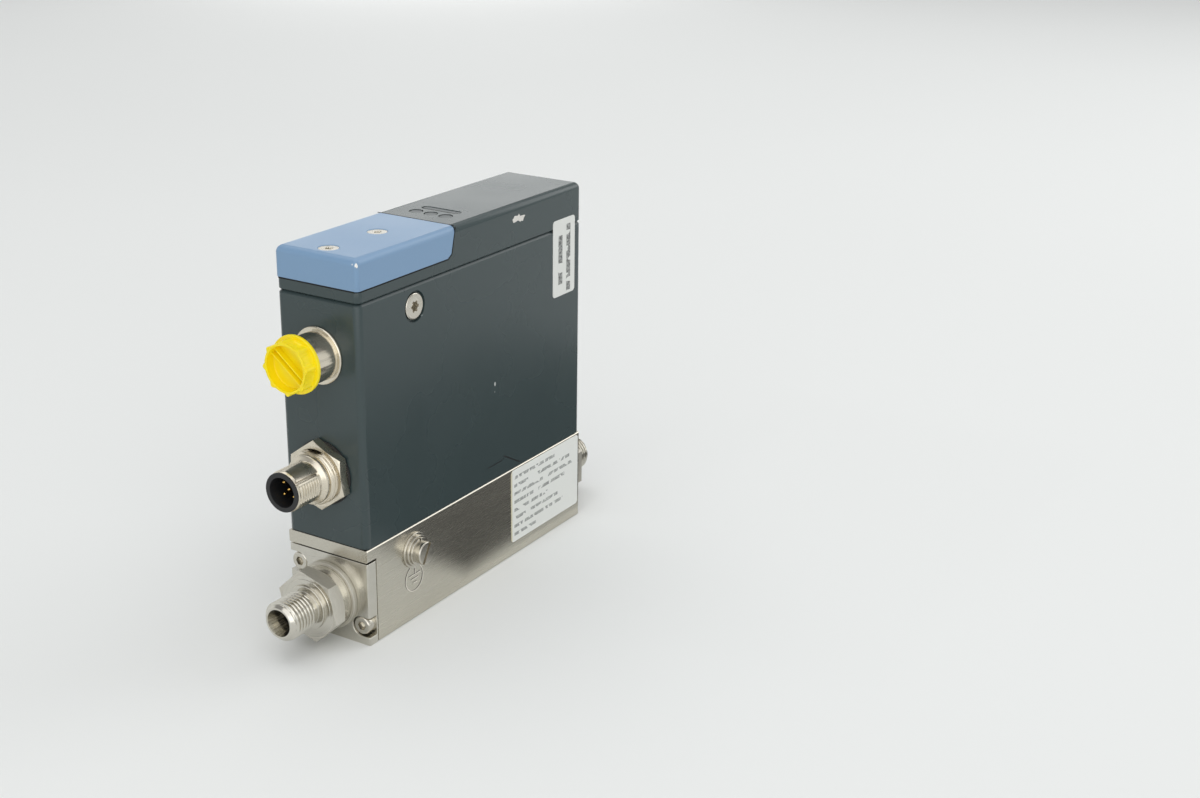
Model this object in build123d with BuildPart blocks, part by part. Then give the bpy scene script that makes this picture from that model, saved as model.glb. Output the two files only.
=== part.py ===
"""Thermal mass flow controller for gases.

A machined steel base block carries the gas ports, the flow sensor and a proportional
solenoid valve. A cast housing with a stepped cover encloses the electronics.

Frame: millimetres, +Z up, +X along the gas flow, origin at the centre of the base block's
bottom face. The inlet, both round connectors and the service cap are at the -X end.
"""

import os
from math import cos, pi, radians, sin, tan

from build123d import *

# --- driving dimensions ---------------------------------------------------------------
body_length = 112.2
body_width = 28.8
base_height = 30.0
housing_top = 102.5
cover_top = 115.2
port_height = 13.0

slip = 0.1  # clearance round shafts, pins and plugs, on the radius
seam = 0.2  # visible joint between two housing parts
running_gap = 0.1  # round the valve plunger, on the radius
hole_slip = 0.05  # clearance round a screw's thread, on the radius
oring_ease = 0.02  # how far a seal ring stays inside its groove

half_length = body_length / 2
half_width = body_width / 2
front_x = -half_length
rear_x = half_length

# --- base block -------------------------------------------------------------------------
plate_thickness = 4.0
lip_height = 3.8  # the block's top edge that overhangs the inlet plate
plate_gap = 0.4  # between the lip and the plate
block_chamfer = 0.3
spigot_radius = 8.5
spigot_length = 9.0
oring_section = 1.0
main_bore_radius = 6.0
feed_run = 22.0  # from the end of the main bore to the valve's axis
outlet_bore_radius = 3.0
port_thread_radius = 6.5
port_thread_length = 12.0
port_depth = port_thread_length + 1.0

block_front_x = front_x + plate_thickness
valve_x = rear_x - 29.5
sensor_x = front_x + 43.5
main_bore_end_x = valve_x - feed_run
plate_height = base_height - lip_height - plate_gap
spigot_end_x = block_front_x + spigot_length
main_bore_start_x = spigot_end_x + oring_section

# --- inlet plate screws, M3 cap heads in pockets that open to the side --------------------
plate_screw_radius = 1.5
plate_screw_head_radius = 2.75
plate_screw_head_height = 3.0
plate_screw_length = 8.0
plate_screw_socket_flats = 2.5
plate_pocket_depth = 3.3
plate_screw_offset_y = 11.2
plate_screw_offset_z = 7.4
plate_pocket_radius = plate_screw_head_radius + 0.3
plate_screw_sites = [
    (-plate_screw_offset_y, port_height - plate_screw_offset_z),
    (plate_screw_offset_y, port_height + plate_screw_offset_z),
]

# --- tube fittings, 6 mm tube, 24 degree cone, M12 thread ------------------------------
washer_thickness = 1.5
washer_radius = 10.2
fitting_collar_radius = 9.3
fitting_collar_length = 3.1
fitting_hex_flats = 19.0
fitting_hex_length = 5.3
inlet_hex_turn = 16.5
outlet_hex_turn = 30.0  # one flat faces the side
fitting_front_bevel = 0.2
fitting_shoulder_radius = 6.8
fitting_shoulder_length = 1.0
fitting_neck_radius = 5.1
fitting_neck_length = 1.5
tube_thread_radius = 6.0
inlet_thread_length = 9.7
outlet_thread_length = 8.4
tube_thread_chamfer = 1.4
tube_radius = 3.0
tube_socket_radius = tube_radius + hole_slip
tube_socket_length = 3.0
gas_bore_radius = 2.0
cone_mouth_radius = 4.07
cone_half_angle = 12.0

# --- mounting and assembly screws in the base --------------------------------------------
mount_hole_radius = 2.0  # M4
mount_hole_depth = 6.0
mount_spacing_x = 60.0
mount_spacing_y = 16.0
base_screw_radius = 1.5
base_screw_head_radius = 2.75
base_screw_head_height = 3.0
base_screw_sink = 3.6
base_screw_x = half_length - 15.5
base_screw_y = half_width - 4.0
base_screw_grip = 9.0  # thread inside the housing's corner posts
base_screw_sites = [(x, y) for x in (-base_screw_x, base_screw_x) for y in (-base_screw_y, base_screw_y)]

# --- earth screw on the -Y side ------------------------------------------------------------
earth_x = front_x + 21.6
earth_z = base_height - 7.8
earth_screw_radius = 2.0
earth_screw_depth = 7.0
earth_head_radius = 3.5
earth_head_height = 2.3
earth_slot_width = 1.0
earth_slot_depth = 1.0
earth_washer_radius = 5.5
earth_washer_thickness = 0.7
earth_clamp_radius = 4.8
earth_clamp_thickness = 0.9
earth_lock_radius = 4.2
earth_lock_thickness = 0.7
earth_lock_split = 0.6
earth_stack = earth_washer_thickness + earth_clamp_thickness + earth_lock_thickness

# --- filter and flow straightener in the main bore -----------------------------------------
filter_length = 2.0
filter_rim = 0.9
filter_sheet = 0.4
filter_hole_radius = 0.5
filter_hole_pitch = 1.55
straightener_gap = 3.0
straightener_length = 8.0
straightener_hole_radius = 0.85
straightener_hole_pitch = 2.2

# --- flow sensor -----------------------------------------------------------------------------
sensor_probe_radius = 2.5
sensor_probe_tip_radius = 1.1
sensor_seat_radius = 4.2
sensor_seat_depth = 1.2
sensor_length = 22.0
sensor_width = 13.6
sensor_height = 10.0
sensor_board_thickness = 1.6
sensor_screw_offset = 8.6
sensor_screw_radius = 1.25

# --- solenoid valve ---------------------------------------------------------------------------
valve_travel = 0.5
chamber_radius = 6.5
chamber_depth = 6.0
feed_hole_radius = 1.8
seat_radius = 3.0
seat_depth = 12.0
seat_exit_radius = 1.6
seat_tip_radius = 1.5
seat_tip_drop = 1.0  # the seat's tip lies this far below the block's top
orifice_radius = 0.75
seal_gap = 0.05
seal_radius = 2.5
seal_thickness = 1.9
seal_proud = 0.3
plunger_radius = 4.0
plunger_length = 20.85
stop_gap = 0.2  # air gap left when the plunger is fully up
spring_pocket_radius = 2.6
spring_pocket_depth = 5.2
spring_wire_radius = 0.28
spring_coil_radius = 2.1
spring_turns = 5
guide_collar_depth = 3.0
guide_flange_flats = 17.0
guide_flange_height = 2.5
guide_tube_radius = 5.0
guide_tip_length = 2.6  # above the nut
coil_radius = 10.4
coil_height = 22.0
coil_flange_height = 1.5
coil_flange_radius = 11.2
yoke_thickness = 1.5
yoke_width = 14.0
yoke_gap = 0.3
valve_nut_flats = 13.0
valve_nut_height = 3.0
valve_oring_section = 1.2

chamber_floor_z = base_height - chamber_depth
seat_floor_z = base_height - seat_depth
seat_tip_z = base_height - seat_tip_drop
plunger_bottom_z = seat_tip_z + seal_gap + seal_proud
plunger_top_z = plunger_bottom_z + plunger_length
stop_bottom_z = plunger_top_z + valve_travel + stop_gap
guide_flange_top_z = base_height + guide_flange_height
yoke_bottom_z = guide_flange_top_z
coil_bottom_z = yoke_bottom_z + yoke_thickness + seam
coil_top_z = coil_bottom_z + coil_height
yoke_top_z = coil_top_z + seam + yoke_thickness
guide_top_z = yoke_top_z + valve_nut_height + guide_tip_length

# --- housing ------------------------------------------------------------------------------------
gasket_thickness = 0.3
gasket_inset = 0.5
wall = 2.0
edge_radius = 2.0
seam_chamfer = 0.7  # on the housing; the cover has half of it
post_radius = 3.0
post_height = 14.0
housing_bottom = base_height + gasket_thickness

# --- cover and service cap ----------------------------------------------------------------------
cover_bottom = housing_top + seam
cover_step_z = cover_top - 9.3
cover_wall = 2.0
cap_seat_gap = 0.35  # dark line under the cap
cap_bottom = cover_step_z + cap_seat_gap
cap_end_x = front_x + 44.3  # upper rear edge of the cap
cap_lean = 2.0  # its rear face leans forward by this at the foot
cap_foot_chamfer = 1.8
cap_wall = 2.0
cap_gap = 0.5  # at its foot and rear face
top_radius = 2.0
rim_depth = 2.0
rim_thickness = 1.5
rim_gap = 0.2
lug_length = 12.0
lug_thickness = 5.0
boss_radius = 3.2
boss_depth = 4.0

cap_screw_sites = [(front_x + 5.9, 0.0), (front_x + 27.0, 0.0)]
cap_screw_radius = 1.5
cap_screw_head_radius = 3.0
cap_screw_sink = 0.15
cap_screw_length = 12.0

side_screw_x = front_x + 24.8
side_screw_z = housing_top - 6.4
lug_bottom_z = side_screw_z - 6.1
side_screw_radius = 2.0
side_screw_head_radius = 3.95
side_screw_head_height = 1.0
side_screw_dome = 0.5
side_screw_length = 5.5
side_recess_radius = 4.6
side_recess_depth = 1.0

# --- status windows in the cover ---------------------------------------------------------------
dot_radius = 2.1
dot_pitch = 5.4
dot_x = cap_end_x + 7.7
bar_x = cap_end_x + 12.9
bar_length = 13.9
bar_width = 3.1
lens_sink = 0.12
lens_slip = 0.05
lens_foot = 0.7
lens_foot_height = 1.2

# --- five-pole plug, M16 panel thread and M12 coupling thread --------------------------------
plug_z = base_height + 21.2
panel_thread_radius = 8.0
plug_gasket_thickness = 0.6
plug_gasket_radius = panel_thread_radius + 1.6
plug_nut_flats = 2 * panel_thread_radius + 2.0
plug_nut_thickness = 3.0
plug_nut_turn = 24.0
plug_thread_reach = 6.0
plug_flat_height = 7.1  # flats above and below on the panel thread
plug_collar_radius = panel_thread_radius - 0.7
plug_collar_length = 1.2
plug_cone_length = 0.8
coupling_radius = 6.0
plug_reach = 17.4
plug_bore_radius = 5.55
plug_rim_inner_radius = 4.35
plug_rim_proud = 0.5
plug_rim_outer_radius = 5.75  # the rim covers the shell's front edge
plug_floor = 9.0
plug_flange_radius = panel_thread_radius + 1.4
plug_flange_thickness = 1.5
plug_back = 9.0  # how far the shell reaches behind the panel's outer face
pin_radius = 0.4
pin_circle_radius = 2.5
pin_count = 4  # round the middle pin
pin_reach = 15.2
pin_turn = 45.0

# --- five-pole socket under the dust cap --------------------------------------------------------
socket_z = housing_top - 16.5
socket_flange_radius = panel_thread_radius + 0.4
socket_flange_thickness = 1.0
socket_barrel_radius = 7.1
socket_reach = 9.0
socket_back = 8.0
socket_bore_radius = 5.8
socket_core_radius = 4.2
socket_nut_flats = 2 * panel_thread_radius + 3.0
socket_nut_thickness = 2.5
contact_circle_radius = 3.0
contact_radius = 0.5
contact_count = 5

dust_flange_radius = 8.4
dust_flange_thickness = 1.1
dust_grip_radius = 7.2
dust_reach = 14.2
dust_recess_radius = 6.4
dust_recess_depth = 3.0
dust_rib_count = 8
dust_rib_radius = 1.1
dust_rib_circle = dust_grip_radius - 0.35
dust_rib_turn = -5.0
dust_key_spacing = 1.9
dust_key_thickness = 0.6
dust_key_height = 1.7
dust_key_turn = 38.6
dust_sleeve_outer = 5.7
dust_sleeve_inner = 4.4
dust_sleeve_depth = 6.0

# --- electronics -----------------------------------------------------------------------------------
board_thickness = 1.6
board_face_y = half_width - 7.0
board_top_z = housing_top - 14.5
board_step_z = guide_top_z + 2.5
board_low_z = base_height + 16.0
board_front_x = front_x + 15.5
board_rear_x = rear_x - 5.5
board_step_x = valve_x - 16.0
bracket_thickness = 1.0
standoff_length = 2.0
standoff_radius = 2.2
bracket_front_x = board_front_x + 4.0
bracket_rear_x = board_step_x + 1.0
bracket_foot_width = 10.0
bracket_feet_x = [sensor_x - 18.5, sensor_x + 17.5]
bracket_face_y = board_face_y + board_thickness + standoff_length
bracket_screw_y = bracket_face_y - 6.8
board_screw_radius = 1.25
board_screw_head_radius = 2.2
board_screw_head_height = 1.5
board_screw_socket_radius = 1.0
board_screw_inset = 4.0
board_screw_sites = [
    (x, z)
    for x in (bracket_front_x + board_screw_inset, bracket_rear_x - board_screw_inset)
    for z in (board_low_z + board_screw_inset, board_top_z - board_screw_inset)
]
connector_board_x = front_x + 11.5
connector_board_width = 15.0
connector_board_low_z = plug_z - 10.2
connector_board_top_z = socket_z + 10.0
header_length = 14.0
header_low_z = plug_z + 16.8
# chips by their centre from the board's upper front corner and size along X and Z, and their height
chip_sizes = [
    ((22.0, -14.0), (12.0, 12.0), 1.4),
    ((36.0, -28.0), (8.0, 6.0), 1.2),
    ((64.0, -12.0), (10.0, 7.0), 1.6),
    ((80.0, -8.0), (7.0, 7.0), 2.6),
    ((18.0, -33.0), (5.0, 4.0), 1.0),
]
capacitor_radius = 3.1
capacitor_height = 7.0
capacitor_sites = [(board_front_x + x, board_top_z - 16.0) for x in (50.0, 73.0)]

# --- labels -----------------------------------------------------------------------------------------
label_thickness = 0.12
label_radius = 1.2
type_label_x = (rear_x - 40.3, rear_x - 1.0)
type_label_z = (4.6, base_height - 0.6)
seal_label_x = (rear_x - 16.6, rear_x - 4.0)
seal_label_z = (housing_top - 22.0, housing_top + 3.0)


def hexagon_radius(flats):
    """Corner radius of a hexagon from its width across flats."""
    return flats / 2 / cos(radians(30))


def across(x):
    """Sketch plane across the flow at x: its own x and y are the part's Y and Z."""
    return Plane(origin=(x, 0, 0), x_dir=(0, 1, 0), z_dir=(1, 0, 0))


def along(y):
    """Sketch plane along the flow at y: its own x and y are the part's X and Z."""
    return Plane(origin=(0, y, 0), x_dir=(1, 0, 0), z_dir=(0, -1, 0))


def hole_rings(pitch, rings):
    """Centres of a round hole pattern: one hole, then six, twelve and so on."""
    sites = [(0.0, 0.0)]
    for ring in range(1, rings + 1):
        count = 6 * ring
        for step in range(count):
            angle = 2 * pi * step / count
            sites.append((ring * pitch * cos(angle), ring * pitch * sin(angle)))
    return sites


def hexalobe(radius):
    """Six-lobed driver recess, drawn in the open sketch."""
    Circle(radius * 0.76)
    with PolarLocations(radius * 0.72, 6):
        Circle(radius * 0.28)


# =============================================================================================
# Base block and gas path
# =============================================================================================
with BuildPart() as base_block:
    with BuildSketch(Plane.XY):
        with Locations(((block_front_x + rear_x) / 2, 0)):
            Rectangle(rear_x - block_front_x, body_width)
    extrude(amount=base_height)
    with BuildSketch(Plane.XY.offset(base_height - lip_height)):
        Rectangle(body_length, body_width)
    extrude(amount=lip_height)
    chamfer(base_block.edges().filter_by(Axis.X), block_chamfer)
    rear_edges = base_block.edges().filter_by(Axis.Z).filter_by_position(Axis.X, rear_x - 1, rear_x + 1)
    chamfer(rear_edges, block_chamfer)
    # inlet side: spigot seat, then the long bore with filter, straightener and sensor tip
    with BuildSketch(across(block_front_x)):
        with Locations((0, port_height)):
            Circle(spigot_radius + slip)
    extrude(amount=spigot_length + oring_section, mode=Mode.SUBTRACT)
    with BuildSketch(across(main_bore_start_x)):
        with Locations((0, port_height)):
            Circle(main_bore_radius)
    extrude(amount=main_bore_end_x - main_bore_start_x, mode=Mode.SUBTRACT)
    with BuildSketch(across(block_front_x)):
        with Locations(*plate_screw_sites):
            Circle(plate_screw_radius + hole_slip)
    extrude(amount=plate_screw_length, mode=Mode.SUBTRACT)
    # outlet side: threaded port, then the narrow bore from under the valve seat
    with BuildSketch(across(rear_x)):
        with Locations((0, port_height)):
            Circle(port_thread_radius + hole_slip)
    extrude(amount=-port_depth, mode=Mode.SUBTRACT)
    with BuildSketch(across(rear_x - port_depth)):
        with Locations((0, port_height)):
            Circle(outlet_bore_radius)
    extrude(amount=-(rear_x - port_depth - valve_x + seat_exit_radius), mode=Mode.SUBTRACT)
    # valve chamber, seat thread and exit
    with BuildSketch(Plane.XY.offset(base_height)):
        with Locations((valve_x, 0)):
            Circle(chamber_radius)
    extrude(amount=-(base_height - chamber_floor_z), mode=Mode.SUBTRACT)
    with BuildSketch(Plane.XY.offset(chamber_floor_z)):
        with Locations((valve_x, 0)):
            Circle(seat_radius)
    extrude(amount=-(chamber_floor_z - seat_floor_z), mode=Mode.SUBTRACT)
    with BuildSketch(Plane.XY.offset(seat_floor_z)):
        with Locations((valve_x, 0)):
            Circle(seat_exit_radius)
    extrude(amount=-(seat_floor_z - port_height), mode=Mode.SUBTRACT)
    # slanted feed from the end of the main bore into the chamber
    feed_start = Vector(main_bore_end_x - feed_hole_radius, 0, port_height)
    feed_end = Vector(valve_x - chamber_radius + 1, 0, chamber_floor_z + 1)
    with BuildSketch(Plane(origin=feed_start, z_dir=feed_end - feed_start)):
        Circle(feed_hole_radius)
    extrude(amount=(feed_end - feed_start).length, mode=Mode.SUBTRACT)
    # sensor opening with its seal seat, and the threads of everything that stands on the block
    with BuildSketch(Plane.XY.offset(base_height)):
        with Locations((sensor_x, 0)):
            Circle(sensor_probe_radius + slip)
    extrude(amount=-(base_height - port_height), mode=Mode.SUBTRACT)
    with BuildSketch(Plane.XY.offset(base_height)):
        with Locations((sensor_x, 0)):
            Circle(sensor_seat_radius)
    extrude(amount=-sensor_seat_depth, mode=Mode.SUBTRACT)
    with BuildSketch(Plane.XY.offset(base_height)):
        with Locations(*[(sensor_x + side * sensor_screw_offset, 0) for side in (-1, 1)]):
            Circle(sensor_screw_radius + hole_slip)
        with Locations(*[(x, bracket_screw_y) for x in bracket_feet_x]):
            Circle(board_screw_radius + hole_slip)
    extrude(amount=-5, mode=Mode.SUBTRACT)
    # underside: mounting threads, and sunk holes for the screws that hold the housing
    with BuildSketch(Plane.XY):
        with GridLocations(mount_spacing_x, mount_spacing_y, 2, 2):
            Circle(mount_hole_radius)
    extrude(amount=mount_hole_depth, mode=Mode.SUBTRACT)
    with BuildSketch(Plane.XY):
        with Locations(*base_screw_sites):
            Circle(base_screw_radius + slip)
    extrude(amount=base_height, mode=Mode.SUBTRACT)
    with BuildSketch(Plane.XY):
        with Locations(*base_screw_sites):
            Circle(base_screw_head_radius + 0.25)
    extrude(amount=base_screw_sink, mode=Mode.SUBTRACT)
    # earth thread in the side
    with BuildSketch(along(-half_width)):
        with Locations((earth_x, earth_z)):
            Circle(earth_screw_radius + hole_slip)
    extrude(amount=-(earth_screw_depth + 1), mode=Mode.SUBTRACT)

with BuildPart() as inlet_plate:
    with BuildSketch(across(front_x)):
        with Locations((0, plate_height / 2)):
            Rectangle(body_width, plate_height)
    extrude(amount=plate_thickness)
    chamfer(inlet_plate.edges().filter_by(Axis.Z), block_chamfer)
    with BuildSketch(across(block_front_x)):
        with Locations((0, port_height)):
            Circle(spigot_radius)
    extrude(amount=spigot_length)
    with BuildSketch(across(front_x)):
        with Locations((0, port_height)):
            Circle(port_thread_radius + hole_slip)
    extrude(amount=plate_thickness + spigot_length, mode=Mode.SUBTRACT)
    # each pocket runs out through the nearer side of the plate
    with BuildSketch(across(front_x)):
        for site_y, site_z in plate_screw_sites:
            outward = 1 if site_y > 0 else -1
            with Locations((site_y, site_z)):
                Circle(plate_pocket_radius)
            with Locations((site_y + outward * plate_pocket_radius, site_z)):
                Rectangle(2 * plate_pocket_radius, 2 * plate_pocket_radius)
    extrude(amount=plate_pocket_depth, mode=Mode.SUBTRACT)
    with BuildSketch(across(front_x)):
        with Locations(*plate_screw_sites):
            Circle(plate_screw_radius + slip)
    extrude(amount=plate_thickness, mode=Mode.SUBTRACT)

with BuildPart() as plate_screws:
    pocket_floor_x = front_x + plate_pocket_depth
    with BuildSketch(across(pocket_floor_x)):
        with Locations(*plate_screw_sites):
            Circle(plate_screw_head_radius)
    extrude(amount=-plate_screw_head_height)
    with BuildSketch(across(pocket_floor_x)):
        with Locations(*plate_screw_sites):
            Circle(plate_screw_radius)
    extrude(amount=plate_screw_length)
    crowns = plate_screws.edges().filter_by(GeomType.CIRCLE).group_by(Axis.X)[0]
    chamfer(crowns, 0.3)
    with BuildSketch(across(pocket_floor_x - plate_screw_head_height)):
        with Locations(*plate_screw_sites):
            RegularPolygon(hexagon_radius(plate_screw_socket_flats), 6)
    extrude(amount=plate_screw_head_height / 2, mode=Mode.SUBTRACT)

with BuildPart() as plate_oring:
    with BuildSketch(Plane.XZ):
        oring_middle_x = spigot_end_x + oring_section / 2
        with Locations((oring_middle_x, port_height + spigot_radius - oring_section)):
            Circle(oring_section / 2 - oring_ease)
    revolve(axis=Axis((0, 0, port_height), (1, 0, 0)))


def tube_fitting(face_x, outward, hex_turn, thread_length):
    """Screw-in fitting on the port axis; outward is -1 at the inlet and 1 at the outlet."""

    def place(distance, radius):
        return (face_x + outward * distance, port_height + radius)

    hex_start = washer_thickness + fitting_collar_length
    hex_end = hex_start + fitting_hex_length
    neck_start = hex_end + fitting_shoulder_length
    thread_start = neck_start + fitting_neck_length
    cone_length = (cone_mouth_radius - tube_socket_radius) / tan(radians(cone_half_angle))
    fitting_end = thread_start + thread_length
    cone_start = fitting_end - cone_length
    socket_start = cone_start - tube_socket_length
    hex_radius = hexagon_radius(fitting_hex_flats)
    hex_bevel = hex_radius - fitting_hex_flats / 2
    with BuildPart() as fitting:
        with BuildSketch(across(face_x + outward * hex_start)):
            with Locations((0, port_height)):
                RegularPolygon(hex_radius, 6, rotation=hex_turn)
        extrude(amount=outward * fitting_hex_length)
        # turned bevels on both hexagon faces
        with BuildSketch(Plane.XZ):
            with BuildLine():
                Polyline(
                    place(hex_start, 0),
                    place(hex_start, fitting_hex_flats / 2 - 0.2),
                    place(hex_start + hex_bevel, hex_radius),
                    place(hex_end - fitting_front_bevel / 2, hex_radius),
                    place(hex_end, hex_radius - fitting_front_bevel),
                    place(hex_end, 0),
                    close=True,
                )
            make_face()
        revolve(axis=Axis((0, 0, port_height), (1, 0, 0)), mode=Mode.INTERSECT)
        with BuildSketch(Plane.XZ):
            with BuildLine():
                Polyline(
                    place(-port_thread_length, 0),
                    place(-port_thread_length, port_thread_radius - tube_thread_chamfer),
                    place(-port_thread_length + tube_thread_chamfer, port_thread_radius),
                    place(washer_thickness, port_thread_radius),
                    place(washer_thickness, fitting_collar_radius),
                    place(hex_start, fitting_collar_radius),
                    place(hex_start, fitting_shoulder_radius),
                    place(neck_start, fitting_shoulder_radius),
                    place(neck_start, fitting_neck_radius),
                    place(thread_start, fitting_neck_radius),
                    place(thread_start, tube_thread_radius),
                    place(fitting_end - tube_thread_chamfer, tube_thread_radius),
                    place(fitting_end, tube_thread_radius - tube_thread_chamfer),
                    place(fitting_end, 0),
                    close=True,
                )
            make_face()
        revolve(axis=Axis((0, 0, port_height), (1, 0, 0)))
        with BuildSketch(Plane.XZ):
            with BuildLine():
                Polyline(
                    place(-port_thread_length, 0),
                    place(-port_thread_length, gas_bore_radius),
                    place(socket_start, gas_bore_radius),
                    place(socket_start, tube_socket_radius),
                    place(cone_start, tube_socket_radius),
                    place(fitting_end, cone_mouth_radius),
                    place(fitting_end, 0),
                    close=True,
                )
            make_face()
        revolve(axis=Axis((0, 0, port_height), (1, 0, 0)), mode=Mode.SUBTRACT)
    return fitting


inlet_fitting = tube_fitting(front_x, -1, inlet_hex_turn, inlet_thread_length)
outlet_fitting = tube_fitting(rear_x, 1, outlet_hex_turn, outlet_thread_length)

with BuildPart() as fitting_washers:
    for face_x, outward in ((front_x, -1), (rear_x, 1)):
        with BuildSketch(across(face_x)):
            with Locations((0, port_height)):
                Circle(washer_radius)
                Circle(port_thread_radius + slip, mode=Mode.SUBTRACT)
        extrude(amount=outward * washer_thickness)

with BuildPart() as inlet_filter:
    with BuildSketch(across(main_bore_start_x)):
        with Locations((0, port_height)):
            Circle(main_bore_radius - hole_slip)
    extrude(amount=filter_length)
    with BuildSketch(across(main_bore_start_x + filter_sheet)):
        with Locations((0, port_height)):
            Circle(main_bore_radius - filter_rim)
    extrude(amount=filter_length - filter_sheet, mode=Mode.SUBTRACT)
    with BuildSketch(across(main_bore_start_x)):
        with Locations((0, port_height)):
            with Locations(*hole_rings(filter_hole_pitch, 2)):
                Circle(filter_hole_radius)
    extrude(amount=filter_sheet, mode=Mode.SUBTRACT)

with BuildPart() as flow_straightener:
    straightener_x = main_bore_start_x + filter_length + straightener_gap
    with BuildSketch(across(straightener_x)):
        with Locations((0, port_height)):
            Circle(main_bore_radius - hole_slip)
            with Locations(*hole_rings(straightener_hole_pitch, 2)):
                Circle(straightener_hole_radius, mode=Mode.SUBTRACT)
    extrude(amount=straightener_length)

# =============================================================================================
# Flow sensor
# =============================================================================================
sensor_board_z = base_height + sensor_height

with BuildPart() as sensor_probe:
    with BuildSketch(Plane.XY.offset(base_height)):
        with Locations((sensor_x, 0)):
            Rectangle(sensor_length, sensor_width)
    extrude(amount=sensor_height)
    fillet(sensor_probe.edges().filter_by(Axis.Z), 1.5)
    # shank in the block, with a slim sensing tip in the gas stream
    with BuildSketch(Plane.XY.offset(base_height)):
        with Locations((sensor_x, 0)):
            Circle(sensor_probe_radius)
    extrude(amount=-(base_height - port_height - main_bore_radius))
    with BuildSketch(Plane.XY.offset(port_height + main_bore_radius)):
        with Locations((sensor_x, 0)):
            Circle(sensor_probe_tip_radius)
    extrude(amount=-(main_bore_radius + 2))
    with BuildSketch(Plane.XY.offset(sensor_board_z)):
        with Locations(*[(sensor_x + side * sensor_screw_offset, 0) for side in (-1, 1)]):
            Circle(board_screw_head_radius + slip)
    extrude(amount=-sensor_height / 2, mode=Mode.SUBTRACT)
    with BuildSketch(Plane.XY.offset(base_height)):
        with Locations(*[(sensor_x + side * sensor_screw_offset, 0) for side in (-1, 1)]):
            Circle(sensor_screw_radius + slip)
    extrude(amount=sensor_height, mode=Mode.SUBTRACT)

with BuildPart() as sensor_oring:
    oring_half = sensor_seat_depth / 2
    with BuildSketch(Plane.XZ):
        with Locations((sensor_x + sensor_probe_radius + oring_half, base_height - oring_half)):
            Circle(oring_half - oring_ease)
    revolve(axis=Axis((sensor_x, 0, 0), (0, 0, 1)))

with BuildPart() as sensor_screws:
    head_seat_z = base_height + sensor_height / 2
    screw_sites = [(sensor_x + side * sensor_screw_offset, 0) for side in (-1, 1)]
    with BuildSketch(Plane.XY.offset(head_seat_z)):
        with Locations(*screw_sites):
            Circle(board_screw_head_radius)
    extrude(amount=board_screw_head_height)
    with BuildSketch(Plane.XY.offset(head_seat_z)):
        with Locations(*screw_sites):
            Circle(sensor_screw_radius)
    extrude(amount=-(sensor_height / 2 + 4.5))
    with BuildSketch(Plane.XY.offset(head_seat_z + board_screw_head_height)):
        with Locations(*screw_sites):
            RegularPolygon(board_screw_socket_radius, 6)
    extrude(amount=-board_screw_head_height / 2, mode=Mode.SUBTRACT)

with BuildPart() as sensor_board:
    with BuildSketch(Plane.XY.offset(sensor_board_z)):
        with Locations((sensor_x, 0)):
            RectangleRounded(sensor_length - 1, sensor_width - 1, 1)
    extrude(amount=sensor_board_thickness)

# =============================================================================================
# Proportional solenoid valve
# =============================================================================================
valve_axis = Axis((valve_x, 0, 0), (0, 0, 1))

with BuildPart() as valve_seat:
    with BuildSketch(Plane.XZ):
        with BuildLine():
            Polyline(
                (valve_x + orifice_radius, seat_floor_z),
                (valve_x + seat_radius - hole_slip, seat_floor_z),
                (valve_x + seat_radius - hole_slip, chamber_floor_z + 0.5),
                (valve_x + seat_tip_radius + 0.9, chamber_floor_z + 2),
                (valve_x + seat_tip_radius, seat_tip_z - 1),
                (valve_x + seat_tip_radius, seat_tip_z),
                (valve_x + orifice_radius, seat_tip_z),
                close=True,
            )
        make_face()
    revolve(axis=valve_axis)

with BuildPart() as valve_plunger:
    with BuildSketch(Plane.XY.offset(plunger_bottom_z)):
        with Locations((valve_x, 0)):
            Circle(plunger_radius)
    extrude(amount=plunger_top_z - plunger_bottom_z)
    chamfer(valve_plunger.edges().filter_by(GeomType.CIRCLE), 0.4)
    with BuildSketch(Plane.XY.offset(plunger_top_z)):
        with Locations((valve_x, 0)):
            Circle(spring_pocket_radius)
    extrude(amount=-spring_pocket_depth, mode=Mode.SUBTRACT)
    with BuildSketch(Plane.XY.offset(plunger_bottom_z)):
        with Locations((valve_x, 0)):
            Circle(seal_radius)
    extrude(amount=seal_thickness - seal_proud, mode=Mode.SUBTRACT)

with BuildPart() as plunger_seal:
    with BuildSketch(Plane.XY.offset(seat_tip_z + seal_gap)):
        with Locations((valve_x, 0)):
            Circle(seal_radius - 0.02)
    extrude(amount=seal_thickness - 0.01)

with BuildPart() as valve_guide_tube:
    with BuildSketch(Plane.XY.offset(base_height)):
        with Locations((valve_x, 0)):
            RegularPolygon(hexagon_radius(guide_flange_flats), 6)
    extrude(amount=guide_flange_height)
    with BuildSketch(Plane.XY.offset(base_height)):
        with Locations((valve_x, 0)):
            Circle(chamber_radius - slip)
    extrude(amount=-guide_collar_depth)
    with BuildSketch(Plane.XY.offset(guide_flange_top_z)):
        with Locations((valve_x, 0)):
            Circle(guide_tube_radius)
    extrude(amount=guide_top_z - guide_flange_top_z)
    chamfer(valve_guide_tube.edges().group_by(Axis.Z)[-1], 0.5)
    with BuildSketch(Plane.XY.offset(base_height - guide_collar_depth)):
        with Locations((valve_x, 0)):
            Circle(plunger_radius + running_gap)
    extrude(amount=guide_top_z - base_height + guide_collar_depth, mode=Mode.SUBTRACT)
    # seal groove in the collar
    with BuildSketch(Plane.XY.offset(base_height - valve_oring_section)):
        with Locations((valve_x, 0)):
            Circle(chamber_radius)
            Circle(chamber_radius - valve_oring_section, mode=Mode.SUBTRACT)
    extrude(amount=valve_oring_section, mode=Mode.SUBTRACT)

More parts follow.
